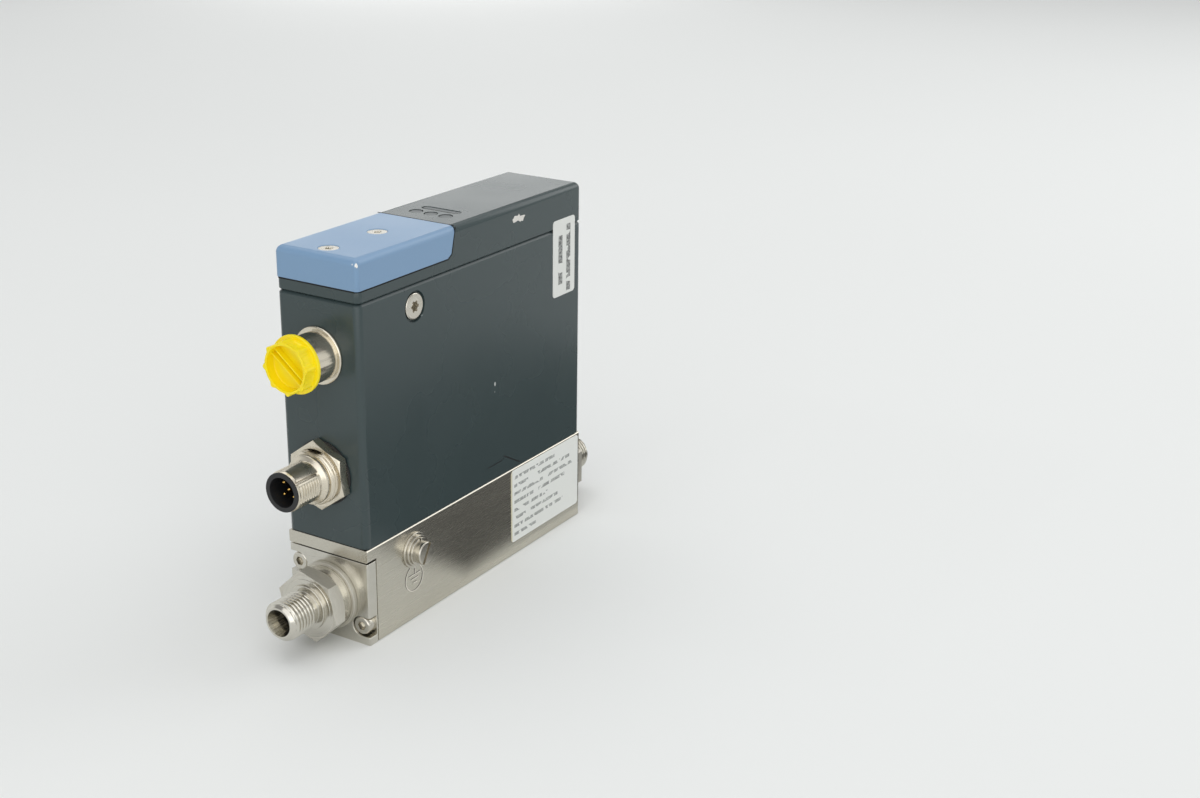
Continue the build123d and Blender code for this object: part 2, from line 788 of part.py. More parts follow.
with BuildPart() as valve_oring:
    oring_half = valve_oring_section / 2
    with BuildSketch(Plane.XZ):
        with Locations((valve_x + chamber_radius - oring_half, base_height - oring_half)):
            Circle(oring_half - oring_ease)
    revolve(axis=valve_axis)

with BuildPart() as valve_stop_core:
    with BuildSketch(Plane.XY.offset(stop_bottom_z)):
        with Locations((valve_x, 0)):
            Circle(plunger_radius + running_gap - hole_slip / 2)
    extrude(amount=guide_top_z - 1 - stop_bottom_z)
    with BuildSketch(Plane.XY.offset(stop_bottom_z)):
        with Locations((valve_x, 0)):
            Circle(spring_pocket_radius)
    extrude(amount=spring_pocket_depth, mode=Mode.SUBTRACT)

spring_low_z = plunger_top_z - spring_pocket_depth
spring_high_z = stop_bottom_z + spring_pocket_depth
with BuildPart() as valve_spring:
    wire_low_z = spring_low_z + spring_wire_radius
    wire_rise = spring_high_z - spring_low_z - 2 * spring_wire_radius
    with BuildLine() as spring_line:
        Helix(
            pitch=wire_rise / spring_turns,
            height=wire_rise,
            radius=spring_coil_radius,
            center=(valve_x, 0, wire_low_z),
        )
    with BuildSketch(Plane(origin=spring_line.line @ 0, z_dir=spring_line.line % 0)):
        Circle(spring_wire_radius)
    sweep(path=spring_line.line, is_frenet=True)

with BuildPart() as valve_coil:
    with BuildSketch(Plane.XY.offset(coil_bottom_z)):
        with Locations((valve_x, 0)):
            Circle(coil_radius)
    extrude(amount=coil_height)
    for flange_z in (coil_bottom_z, coil_top_z - coil_flange_height):
        with BuildSketch(Plane.XY.offset(flange_z)):
            with Locations((valve_x, 0)):
                Circle(coil_flange_radius)
        extrude(amount=coil_flange_height)
    with BuildSketch(Plane.XY.offset(coil_bottom_z)):
        with Locations((valve_x, 0)):
            Circle(guide_tube_radius + slip)
    extrude(amount=coil_height, mode=Mode.SUBTRACT)

with BuildPart() as valve_yoke:
    yoke_half = coil_flange_radius + yoke_gap + yoke_thickness
    yoke_middle_z = (yoke_bottom_z + yoke_top_z) / 2
    with BuildSketch(along(yoke_width / 2)):
        with Locations((valve_x, yoke_middle_z)):
            RectangleRounded(2 * yoke_half, yoke_top_z - yoke_bottom_z, 2)
            RectangleRounded(
                2 * (yoke_half - yoke_thickness),
                yoke_top_z - yoke_bottom_z - 2 * yoke_thickness,
                0.5,
                mode=Mode.SUBTRACT,
            )
    extrude(amount=yoke_width)
    with BuildSketch(Plane.XY.offset(yoke_bottom_z)):
        with Locations((valve_x, 0)):
            Circle(guide_tube_radius + slip)
    extrude(amount=yoke_top_z - yoke_bottom_z, mode=Mode.SUBTRACT)

with BuildPart() as valve_nut:
    with BuildSketch(Plane.XY.offset(yoke_top_z)):
        with Locations((valve_x, 0)):
            RegularPolygon(hexagon_radius(valve_nut_flats), 6)
            Circle(guide_tube_radius + hole_slip, mode=Mode.SUBTRACT)
    extrude(amount=valve_nut_height)

with BuildPart() as coil_terminals:
    with BuildSketch(Plane.XY.offset(coil_top_z)):
        with Locations(*[(valve_x + side * 3.0, board_face_y + board_thickness / 2) for side in (-1, 1)]):
            Rectangle(0.8, 0.5)
    extrude(amount=board_step_z - coil_top_z)

# =============================================================================================
# Electronics
# =============================================================================================
with BuildPart() as board_bracket:
    with BuildSketch(along(bracket_face_y + bracket_thickness)):
        with Locations(((bracket_front_x + bracket_rear_x) / 2, (base_height + board_top_z) / 2)):
            Rectangle(bracket_rear_x - bracket_front_x, board_top_z - base_height)
        # the middle is cut away over the sensor
        with Locations((sensor_x, base_height)):
            Rectangle(sensor_length + 2, 34, mode=Mode.SUBTRACT)
        with Locations(*board_screw_sites):
            Circle(board_screw_radius + slip, mode=Mode.SUBTRACT)
    extrude(amount=bracket_thickness)
    for foot_x in bracket_feet_x:
        with BuildSketch(Plane.XY.offset(base_height)):
            with Locations((foot_x, (bracket_face_y + bracket_thickness) / 2)):
                Rectangle(bracket_foot_width, bracket_face_y + bracket_thickness)
            with Locations((foot_x, bracket_screw_y)):
                Circle(board_screw_radius + slip, mode=Mode.SUBTRACT)
        extrude(amount=bracket_thickness)

with BuildPart() as bracket_screws:
    foot_top_z = base_height + bracket_thickness
    foot_sites = [(x, bracket_screw_y) for x in bracket_feet_x]
    with BuildSketch(Plane.XY.offset(foot_top_z)):
        with Locations(*foot_sites):
            Circle(board_screw_head_radius)
    extrude(amount=board_screw_head_height)
    with BuildSketch(Plane.XY.offset(foot_top_z)):
        with Locations(*foot_sites):
            Circle(board_screw_radius)
    extrude(amount=-(bracket_thickness + 4.5))
    with BuildSketch(Plane.XY.offset(foot_top_z + board_screw_head_height)):
        with Locations(*foot_sites):
            RegularPolygon(board_screw_socket_radius, 6)
    extrude(amount=-board_screw_head_height / 2, mode=Mode.SUBTRACT)

with BuildPart() as main_board:
    with BuildSketch(along(board_face_y + board_thickness)):
        with BuildLine():
            Polyline(
                (board_front_x, board_low_z),
                (board_step_x, board_low_z),
                (board_step_x, board_step_z),
                (board_rear_x, board_step_z),
                (board_rear_x, board_top_z),
                (board_front_x, board_top_z),
                close=True,
            )
        make_face()
        with Locations(*board_screw_sites):
            Circle(board_screw_radius + slip, mode=Mode.SUBTRACT)
    extrude(amount=board_thickness)

with BuildPart() as board_standoffs:
    with BuildSketch(along(bracket_face_y)):
        with Locations(*board_screw_sites):
            RegularPolygon(standoff_radius, 6)
            Circle(board_screw_radius + hole_slip, mode=Mode.SUBTRACT)
    extrude(amount=standoff_length)

with BuildPart() as board_screws:
    with BuildSketch(along(board_face_y)):
        with Locations(*board_screw_sites):
            Circle(board_screw_head_radius)
    extrude(amount=board_screw_head_height)
    with BuildSketch(along(board_face_y)):
        with Locations(*board_screw_sites):
            Circle(board_screw_radius)
    extrude(amount=-(board_thickness + standoff_length + bracket_thickness))
    with BuildSketch(along(board_face_y - board_screw_head_height)):
        with Locations(*board_screw_sites):
            RegularPolygon(board_screw_socket_radius, 6)
    extrude(amount=-board_screw_head_height / 2, mode=Mode.SUBTRACT)

with BuildPart() as board_chips:
    for centre, size, height in chip_sizes:
        with BuildSketch(along(board_face_y)):
            with Locations((board_front_x + centre[0], board_top_z + centre[1])):
                Rectangle(*size)
        extrude(amount=height)

with BuildPart() as board_capacitors:
    with BuildSketch(along(board_face_y)):
        with Locations(*capacitor_sites):
            Circle(capacitor_radius)
    extrude(amount=capacitor_height)
    chamfer(board_capacitors.edges().group_by(Axis.Y)[0], 0.4)

with BuildPart() as connector_board:
    with BuildSketch(across(connector_board_x)):
        with Locations((0, (connector_board_low_z + connector_board_top_z) / 2)):
            RectangleRounded(connector_board_width, connector_board_top_z - connector_board_low_z, 1)
    extrude(amount=board_thickness)

with BuildPart() as board_header:
    header_start_x = connector_board_x + board_thickness
    with BuildSketch(Plane.XY.offset(header_low_z)):
        with Locations(((header_start_x + board_front_x + 3) / 2, board_face_y - 2.5)):
            Rectangle(board_front_x + 3 - header_start_x, 5)
    extrude(amount=header_length)

with BuildPart() as sensor_header:
    header_foot_z = sensor_board_z + sensor_board_thickness
    with BuildSketch(Plane.XY.offset(header_foot_z)):
        with Locations((sensor_x, board_face_y - 1.5)):
            Rectangle(9, 3)
    extrude(amount=board_low_z + 4 - header_foot_z)

# =============================================================================================
# Housing
# =============================================================================================
with BuildPart() as housing_gasket:
    with BuildSketch(Plane.XY.offset(base_height)):
        RectangleRounded(body_length - 2 * gasket_inset, body_width - 2 * gasket_inset, edge_radius)
        RectangleRounded(body_length - 2 * wall, body_width - 2 * wall, edge_radius / 2, mode=Mode.SUBTRACT)
    extrude(amount=gasket_thickness)

with BuildPart() as housing:
    with BuildSketch(Plane.XY.offset(housing_bottom)):
        RectangleRounded(body_length, body_width, edge_radius)
    extrude(amount=housing_top - housing_bottom)
    chamfer(housing.edges().group_by(Axis.Z)[-1], seam_chamfer)
    with BuildSketch(Plane.XY.offset(housing_bottom)):
        RectangleRounded(body_length - 2 * wall, body_width - 2 * wall, edge_radius / 2)
    extrude(amount=housing_top - housing_bottom, mode=Mode.SUBTRACT)
    # corner posts that take the screws from below the block
    with BuildSketch(Plane.XY.offset(housing_bottom)):
        for site_x, site_y in base_screw_sites:
            wall_side = 1 if site_y > 0 else -1
            with Locations((site_x, site_y)):
                Circle(post_radius)
            with Locations((site_x, wall_side * (half_width - wall / 2 - 0.5))):
                Rectangle(2 * post_radius, wall + 1)
    extrude(amount=post_height)
    with BuildSketch(Plane.XY.offset(housing_bottom)):
        with Locations(*base_screw_sites):
            Circle(base_screw_radius + hole_slip)
    extrude(amount=base_screw_grip + 1, mode=Mode.SUBTRACT)
    # round openings for the two connectors
    with BuildSketch(across(front_x)):
        with Locations((0, plug_z), (0, socket_z)):
            Circle(panel_thread_radius + slip)
    extrude(amount=wall, mode=Mode.SUBTRACT)
    # sunk seats for the side screws
    for side in (-1, 1):
        with BuildSketch(along(side * half_width)):
            with Locations((side_screw_x, side_screw_z)):
                Circle(side_recess_radius)
        extrude(amount=side * side_recess_depth, mode=Mode.SUBTRACT)
        with BuildSketch(along(side * half_width)):
            with Locations((side_screw_x, side_screw_z)):
                Circle(side_screw_radius + slip)
        extrude(amount=side * wall, mode=Mode.SUBTRACT)

with BuildPart() as base_screws:
    head_seat_z = base_screw_sink
    with BuildSketch(Plane.XY.offset(head_seat_z)):
        with Locations(*base_screw_sites):
            Circle(base_screw_head_radius)
    extrude(amount=-base_screw_head_height)
    with BuildSketch(Plane.XY.offset(head_seat_z)):
        with Locations(*base_screw_sites):
            Circle(base_screw_radius)
    extrude(amount=housing_bottom - head_seat_z + base_screw_grip)
    with BuildSketch(Plane.XY.offset(head_seat_z - base_screw_head_height)):
        with Locations(*base_screw_sites):
            RegularPolygon(hexagon_radius(plate_screw_socket_flats), 6)
    extrude(amount=base_screw_head_height / 2, mode=Mode.SUBTRACT)


def cap_outline(grow):
    """Corners of the service cap seen from the side, grown by a gap at its foot and rear face."""
    foot_x = cap_end_x - cap_lean
    low_z = cap_bottom - (cap_seat_gap if grow else 0)
    high_z = cover_top + (1 if grow else 0)
    return [
        (front_x - 1, low_z),
        (foot_x - cap_foot_chamfer + grow, low_z),
        (foot_x + grow, cap_bottom + cap_foot_chamfer * 0.6),
        (cap_end_x + grow, high_z),
        (front_x - 1, high_z),
    ]


with BuildPart() as top_cover:
    with BuildSketch(Plane.XY.offset(cover_bottom)):
        RectangleRounded(body_length, body_width, edge_radius)
    extrude(amount=cover_top - cover_bottom)
    fillet(top_cover.edges().group_by(Axis.Z)[-1], top_radius)
    chamfer(top_cover.edges().group_by(Axis.Z)[0], seam_chamfer / 2)
    # step for the service cap
    with BuildSketch(along(half_width + 1)):
        with BuildLine():
            Polyline(*cap_outline(cap_gap), close=True)
        make_face()
    extrude(amount=body_width + 2, mode=Mode.SUBTRACT)
    # hollow under the high part
    hollow_start_x = cap_end_x + cover_wall + 0.5
    hollow_end_x = rear_x - cover_wall
    with BuildSketch(Plane.XY.offset(cover_bottom)):
        with Locations(((hollow_start_x + hollow_end_x) / 2, 0)):
            RectangleRounded(hollow_end_x - hollow_start_x, body_width - 2 * cover_wall, 1)
    extrude(amount=cover_top - cover_wall - cover_bottom, mode=Mode.SUBTRACT)
    # locating rim inside the housing
    with BuildSketch(Plane.XY.offset(cover_bottom)):
        rim_length = body_length - 2 * (wall + rim_gap)
        rim_width = body_width - 2 * (wall + rim_gap)
        RectangleRounded(rim_length, rim_width, edge_radius / 2)
        RectangleRounded(
            rim_length - 2 * rim_thickness, rim_width - 2 * rim_thickness, 0.5, mode=Mode.SUBTRACT
        )
    extrude(amount=-rim_depth)
    # two lugs that the side screws grip
    lug_outer_y = half_width - wall - rim_gap
    with BuildSketch(Plane.XY.offset(lug_bottom_z)):
        with Locations(*[(side_screw_x, side * (lug_outer_y - lug_thickness / 2)) for side in (-1, 1)]):
            Rectangle(lug_length, lug_thickness)
    extrude(amount=cover_bottom - lug_bottom_z)
    with BuildSketch(along(half_width)):
        with Locations((side_screw_x, side_screw_z)):
            Circle(side_screw_radius + hole_slip)
    extrude(amount=body_width, mode=Mode.SUBTRACT)
    # bosses and threads for the cap screws
    with BuildSketch(Plane.XY.offset(cover_bottom)):
        with Locations(*cap_screw_sites):
            Circle(boss_radius)
    extrude(amount=-boss_depth)
    with BuildSketch(Plane.XY.offset(cover_step_z)):
        with Locations(*cap_screw_sites):
            Circle(cap_screw_radius + hole_slip)
    extrude(amount=-(cover_step_z - cover_bottom + boss_depth), mode=Mode.SUBTRACT)
    # status windows
    with BuildSketch(Plane.XY.offset(cover_top)):
        with Locations(*[(dot_x, step * dot_pitch) for step in (-1, 0, 1)]):
            Circle(dot_radius + lens_slip)
        with Locations((bar_x, 0)):
            SlotOverall(bar_length + 2 * lens_slip, bar_width + 2 * lens_slip, rotation=90)
    extrude(amount=-cover_wall, mode=Mode.SUBTRACT)

with BuildPart() as service_cap:
    with BuildSketch(Plane.XY.offset(cap_bottom)):
        with Locations(((front_x + cap_end_x) / 2, 0)):
            Rectangle(cap_end_x - front_x, body_width)
    extrude(amount=cover_top - cap_bottom)
    with BuildSketch(along(half_width + 1)):
        with BuildLine():
            Polyline(*cap_outline(0), close=True)
        make_face()
    extrude(amount=body_width + 2, mode=Mode.INTERSECT)
    front_edges = service_cap.edges().filter_by(Axis.Z).filter_by_position(Axis.X, front_x - 1, front_x + 1)
    fillet(front_edges, edge_radius * 0.6)
    upper_edges = service_cap.edges().group_by(Axis.Z)[-1]
    fillet(upper_edges.filter_by_position(Axis.X, front_x - 1, cap_end_x - 1), top_radius)
    # hollow from below, leaving a boss round each screw
    hollow_front_x = front_x + cap_wall
    hollow_rear_x = cap_end_x - cap_lean - cap_foot_chamfer - cap_wall
    with BuildSketch(Plane.XY.offset(cap_bottom)):
        with Locations(((hollow_front_x + hollow_rear_x) / 2, 0)):
            RectangleRounded(hollow_rear_x - hollow_front_x, body_width - 2 * cap_wall, 1)
        with Locations(*cap_screw_sites):
            Circle(boss_radius, mode=Mode.SUBTRACT)
    extrude(amount=cover_top - cap_bottom - cap_wall - 0.5, mode=Mode.SUBTRACT)
    with Locations(*[(x, y, cover_top) for x, y in cap_screw_sites]):
        CounterSinkHole(
            radius=cap_screw_radius + slip,
            counter_sink_radius=cap_screw_head_radius + slip,
            depth=cover_top - cap_bottom,
        )

with BuildPart() as cap_screws:
    screw_top_z = cover_top - cap_screw_sink
    screw_top_radius = cap_screw_head_radius - cap_screw_sink
    countersink_foot_z = screw_top_z - screw_top_radius + cap_screw_radius
    for site_x, site_y in cap_screw_sites:
        with BuildSketch(Plane.XZ):
            with BuildLine():
                Polyline(
                    (site_x, screw_top_z),
                    (site_x + screw_top_radius, screw_top_z),
                    (site_x + cap_screw_radius, countersink_foot_z),
                    (site_x + cap_screw_radius, screw_top_z - cap_screw_length),
                    (site_x, screw_top_z - cap_screw_length),
                    close=True,
                )
            make_face()
        revolve(axis=Axis((site_x, site_y, 0), (0, 0, 1)))
    with BuildSketch(Plane.XY.offset(screw_top_z)):
        with Locations(*cap_screw_sites):
            hexalobe(cap_screw_head_radius * 0.46)
    extrude(amount=-1.2, mode=Mode.SUBTRACT)

with BuildPart() as side_screws:
    for side in (-1, 1):
        seat_y = side * (half_width - side_recess_depth)
        with BuildSketch(along(seat_y)):
            with Locations((side_screw_x, side_screw_z)):
                Circle(side_screw_head_radius)
        extrude(amount=-side * side_screw_head_height)
        fillet(side_screws.edges().group_by(Axis.Y)[0 if side < 0 else -1], side_screw_dome)
        with BuildSketch(along(seat_y)):
            with Locations((side_screw_x, side_screw_z)):
                Circle(side_screw_radius)
        extrude(amount=side * side_screw_length)
        with BuildSketch(along(side * half_width)):
            with Locations((side_screw_x, side_screw_z)):
                hexalobe(side_screw_head_radius * 0.45)
        extrude(amount=side * 2.0, mode=Mode.SUBTRACT)

lens_top_z = cover_top - lens_sink
lens_seat_z = cover_top - cover_wall

with BuildPart() as status_lenses:
    dot_sites = [(dot_x, step * dot_pitch) for step in (-1, 0, 1)]
    with BuildSketch(Plane.XY.offset(lens_seat_z)):
        with Locations(*dot_sites):
            Circle(dot_radius)
    extrude(amount=lens_top_z - lens_seat_z)
    with BuildSketch(Plane.XY.offset(lens_seat_z)):
        with Locations(*dot_sites):
            Circle(dot_radius + lens_foot * 0.8)
    extrude(amount=-lens_foot_height)

with BuildPart() as power_lens:
    with BuildSketch(Plane.XY.offset(lens_seat_z)):
        with Locations((bar_x, 0)):
            SlotOverall(bar_length, bar_width, rotation=90)
    extrude(amount=lens_top_z - lens_seat_z)
    with BuildSketch(Plane.XY.offset(lens_seat_z)):
        with Locations((bar_x + lens_foot / 2, 0)):
            SlotOverall(bar_length + lens_foot, bar_width + lens_foot, rotation=90)
    extrude(amount=-lens_foot_height)

# =============================================================================================
# Five-pole plug
# =============================================================================================
plug_axis = Axis((0, 0, plug_z), (1, 0, 0))


def plug_place(distance, radius):
    """Point of the plug's section: distance out from the panel, radius from its axis."""
    return (front_x - distance, plug_z + radius)


with BuildPart() as plug_shell:
    cone_end = plug_thread_reach + plug_collar_length + plug_cone_length
    with BuildSketch(Plane.XZ):
        with BuildLine():
            Polyline(
                plug_place(-plug_back, plug_bore_radius),
                plug_place(-plug_back, panel_thread_radius - 1),
                plug_place(-wall - plug_flange_thickness, panel_thread_radius - 1),
                plug_place(-wall - plug_flange_thickness, plug_flange_radius),
                plug_place(-wall, plug_flange_radius),
                plug_place(-wall, panel_thread_radius),
                plug_place(plug_thread_reach - 0.5, panel_thread_radius),
                plug_place(plug_thread_reach, panel_thread_radius - 0.5),
                plug_place(plug_thread_reach, plug_collar_radius),
                plug_place(plug_thread_reach + plug_collar_length, plug_collar_radius),
                plug_place(cone_end, coupling_radius),
                plug_place(plug_reach - 0.4, coupling_radius),
                plug_place(plug_reach, coupling_radius - 0.25),
                plug_place(plug_reach, plug_bore_radius),
                close=True,
            )
        make_face()
    revolve(axis=plug_axis)
    with BuildSketch(across(front_x)):
        flat_depth = panel_thread_radius - plug_flat_height
        with Locations(*[(0, plug_z + end * (plug_flat_height + flat_depth / 2)) for end in (-1, 1)]):
            Rectangle(2 * panel_thread_radius, flat_depth)
    extrude(amount=-plug_thread_reach, mode=Mode.SUBTRACT)

with BuildPart() as plug_gasket:
    with BuildSketch(across(front_x)):
        with Locations((0, plug_z)):
            Circle(plug_gasket_radius)
            Circle(panel_thread_radius + slip, mode=Mode.SUBTRACT)
    extrude(amount=-plug_gasket_thickness)

with BuildPart() as plug_nut:
    nut_radius = hexagon_radius(plug_nut_flats)
    nut_start = plug_gasket_thickness
    nut_end = plug_gasket_thickness + plug_nut_thickness
    with BuildSketch(across(front_x - nut_start)):
        with Locations((0, plug_z)):
            RegularPolygon(nut_radius, 6, rotation=plug_nut_turn)
    extrude(amount=-plug_nut_thickness)
    with BuildSketch(Plane.XZ):
        with BuildLine():
            Polyline(
                plug_place(nut_start, panel_thread_radius + hole_slip),
                plug_place(nut_start, nut_radius),
                plug_place(nut_end - 0.6, nut_radius),
                plug_place(nut_end, plug_nut_flats / 2),
                plug_place(nut_end, panel_thread_radius + hole_slip),
                close=True,
            )
        make_face()
    revolve(axis=plug_axis, mode=Mode.INTERSECT)

pin_sites = [(0.0, plug_z)]
for pin_index in range(pin_count):
    pin_angle = radians(pin_turn + 360 / pin_count * pin_index)
    pin_sites.append((pin_circle_radius * cos(pin_angle), plug_z + pin_circle_radius * sin(pin_angle)))

with BuildPart() as plug_insert:
    with BuildSketch(across(front_x + plug_back)):
        with Locations((0, plug_z)):
            Circle(plug_bore_radius - hole_slip)
    extrude(amount=-(plug_back + plug_reach))
    with BuildSketch(across(front_x - plug_reach)):
        with Locations((0, plug_z)):
            Circle(plug_rim_outer_radius)
    extrude(amount=-plug_rim_proud)
    with BuildSketch(across(front_x - plug_reach - plug_rim_proud)):
        with Locations((0, plug_z)):
            Circle(plug_rim_inner_radius)
    extrude(amount=plug_reach + plug_rim_proud - plug_floor, mode=Mode.SUBTRACT)
    # coding key inside the rim
    with BuildSketch(across(front_x - plug_floor)):
        with Locations((0, plug_z + plug_rim_inner_radius - 0.3)):
            Rectangle(1.0, 1.2)
    extrude(amount=-(plug_reach - plug_floor - 1.5))
    with BuildSketch(across(front_x + plug_back)):
        with Locations(*pin_sites):
            Circle(pin_radius + hole_slip)
    extrude(amount=-(plug_back + plug_floor), mode=Mode.SUBTRACT)

with BuildPart() as plug_pins:
    with BuildSketch(across(connector_board_x)):
        with Locations(*pin_sites):
            Circle(pin_radius)
    extrude(amount=-(connector_board_x - front_x + pin_reach))
    chamfer(plug_pins.edges().filter_by(GeomType.CIRCLE).group_by(Axis.X)[0], pin_radius * 0.5)

# =============================================================================================
# Five-pole socket with its screwed-in dust cap
# =============================================================================================
socket_axis = Axis((0, 0, socket_z), (1, 0, 0))


def socket_place(distance, radius):
    """Point of the socket's section: distance out from the panel, radius from its axis."""
    return (front_x - distance, socket_z + radius)


with BuildPart() as socket_shell:
    with BuildSketch(Plane.XZ):
        with BuildLine():
            Polyline(
                socket_place(-socket_back, socket_bore_radius),
                socket_place(-socket_back, panel_thread_radius),
                socket_place(0, panel_thread_radius),
                socket_place(0, socket_flange_radius),
                socket_place(socket_flange_thickness - 0.3, socket_flange_radius),
                socket_place(socket_flange_thickness, socket_flange_radius - 0.3),
                socket_place(socket_flange_thickness, socket_barrel_radius),
                socket_place(socket_reach - 0.3, socket_barrel_radius),
                socket_place(socket_reach, socket_barrel_radius - 0.3),
                socket_place(socket_reach, socket_bore_radius),
                close=True,
            )
        make_face()
    revolve(axis=socket_axis)

with BuildPart() as socket_nut:
    with BuildSketch(across(front_x + wall)):
        with Locations((0, socket_z)):
            RegularPolygon(hexagon_radius(socket_nut_flats), 6)
            Circle(panel_thread_radius + hole_slip, mode=Mode.SUBTRACT)
    extrude(amount=socket_nut_thickness)

contact_sites = [(0.0, socket_z)]
for contact_index in range(contact_count - 1):
    contact_angle = radians(45 + 90 * contact_index)
    contact_sites.append(
        (contact_circle_radius * cos(contact_angle), socket_z + contact_circle_radius * sin(contact_angle))
    )

with BuildPart() as socket_insert:
    with BuildSketch(across(front_x + socket_back)):
        with Locations((0, socket_z)):
            Circle(socket_bore_radius - hole_slip)
    extrude(amount=-(socket_back + socket_flange_thickness))
    with BuildSketch(across(front_x)):
        with Locations((0, socket_z)):
            Circle(socket_core_radius)
    extrude(amount=-(socket_reach - 0.5))
    with BuildSketch(across(front_x + socket_back)):
        with Locations(*contact_sites):
            Circle(contact_radius + hole_slip)
    extrude(amount=-(socket_back + socket_reach), mode=Mode.SUBTRACT)

with BuildPart() as socket_contacts:
    with BuildSketch(across(connector_board_x)):
        with Locations(*contact_sites):
            Circle(contact_radius)
    extrude(amount=-(connector_board_x - front_x + socket_reach - 1.0))

with BuildPart() as dust_cap:
    grip_start = socket_reach + dust_flange_thickness
    with BuildSketch(across(front_x - socket_reach)):
        with Locations((0, socket_z)):
            Circle(dust_flange_radius)
    extrude(amount=-dust_flange_thickness)
    fillet(dust_cap.edges().filter_by(GeomType.CIRCLE), 0.3)
    with BuildSketch(across(front_x - grip_start)):
        with Locations((0, socket_z)):
            Circle(dust_grip_radius)
            with PolarLocations(dust_rib_circle, dust_rib_count, start_angle=dust_rib_turn):
                Circle(dust_rib_radius)
    extrude(amount=-(dust_reach - grip_start), taper=2)
    with BuildSketch(across(front_x - dust_reach)):
        with Locations((0, socket_z)):
            Circle(dust_recess_radius)
    extrude(amount=dust_recess_depth, mode=Mode.SUBTRACT)
    # two parallel finger ribs across the recess
    with BuildSketch(across(front_x - dust_reach + dust_recess_depth)):
        with Locations(Location((0, socket_z), dust_key_turn)):
            with Locations((0, dust_key_spacing / 2), (0, -dust_key_spacing / 2)):
                Rectangle(2 * dust_recess_radius - 0.2, dust_key_thickness)
    extrude(amount=-dust_key_height)
    # threaded sleeve inside the socket
    with BuildSketch(across(front_x - socket_reach)):
        with Locations((0, socket_z)):
            Circle(dust_sleeve_outer)
            Circle(dust_sleeve_inner, mode=Mode.SUBTRACT)
    extrude(amount=dust_sleeve_depth)

# =============================================================================================
# Earth screw and labels
# =============================================================================================
def earth_ring(start_y, outer_radius, thickness):
    """Washer under the earth screw's head; start_y is how far out it begins."""
    with BuildPart() as ring:
        with BuildSketch(along(-start_y)):
            with Locations((earth_x, earth_z)):
                Circle(outer_radius)
                Circle(earth_screw_radius + slip, mode=Mode.SUBTRACT)
        extrude(amount=thickness)
    return ring


clamp_start_y = half_width + earth_washer_thickness
lock_start_y = clamp_start_y + earth_clamp_thickness
earth_washer = earth_ring(half_width, earth_washer_radius, earth_washer_thickness)
earth_clamp_washer = earth_ring(clamp_start_y, earth_clamp_radius, earth_clamp_thickness)

with BuildPart() as earth_lock_washer:
    with BuildSketch(along(-lock_start_y)):
        with Locations((earth_x, earth_z)):
            Circle(earth_lock_radius)
            Circle(earth_screw_radius + slip, mode=Mode.SUBTRACT)
        # the split that makes it springy
        with Locations((earth_x, earth_z + earth_lock_radius / 2)):
            Rectangle(earth_lock_split, earth_lock_radius, mode=Mode.SUBTRACT)
    extrude(amount=earth_lock_thickness)

with BuildPart() as earth_screw:
    head_seat = half_width + earth_stack
    with BuildSketch(along(-head_seat)):
        with Locations((earth_x, earth_z)):
            Circle(earth_head_radius)
    extrude(amount=earth_head_height)
    fillet(earth_screw.edges().filter_by(GeomType.CIRCLE).group_by(Axis.Y)[0], 0.4)
    with BuildSketch(along(-head_seat)):
        with Locations((earth_x, earth_z)):
            Circle(earth_screw_radius)
    extrude(amount=-(earth_stack + earth_screw_depth))
    with BuildSketch(along(-head_seat - earth_head_height)):
        with Locations(Location((earth_x, earth_z), 60)):
            Rectangle(3 * earth_head_radius, earth_slot_width)
    extrude(amount=-earth_slot_depth, mode=Mode.SUBTRACT)


def flat_label(x_range, z_range):
    """Thin rounded label on the -Y side."""
    with BuildPart() as label:
        with BuildSketch(along(-half_width)):
            with Locations(((x_range[0] + x_range[1]) / 2, (z_range[0] + z_range[1]) / 2)):
                RectangleRounded(x_range[1] - x_range[0], z_range[1] - z_range[0], label_radius)
        extrude(amount=label_thickness)
    return label


type_label = flat_label(type_label_x, type_label_z)
seal_label = flat_label(seal_label_x, seal_label_z)

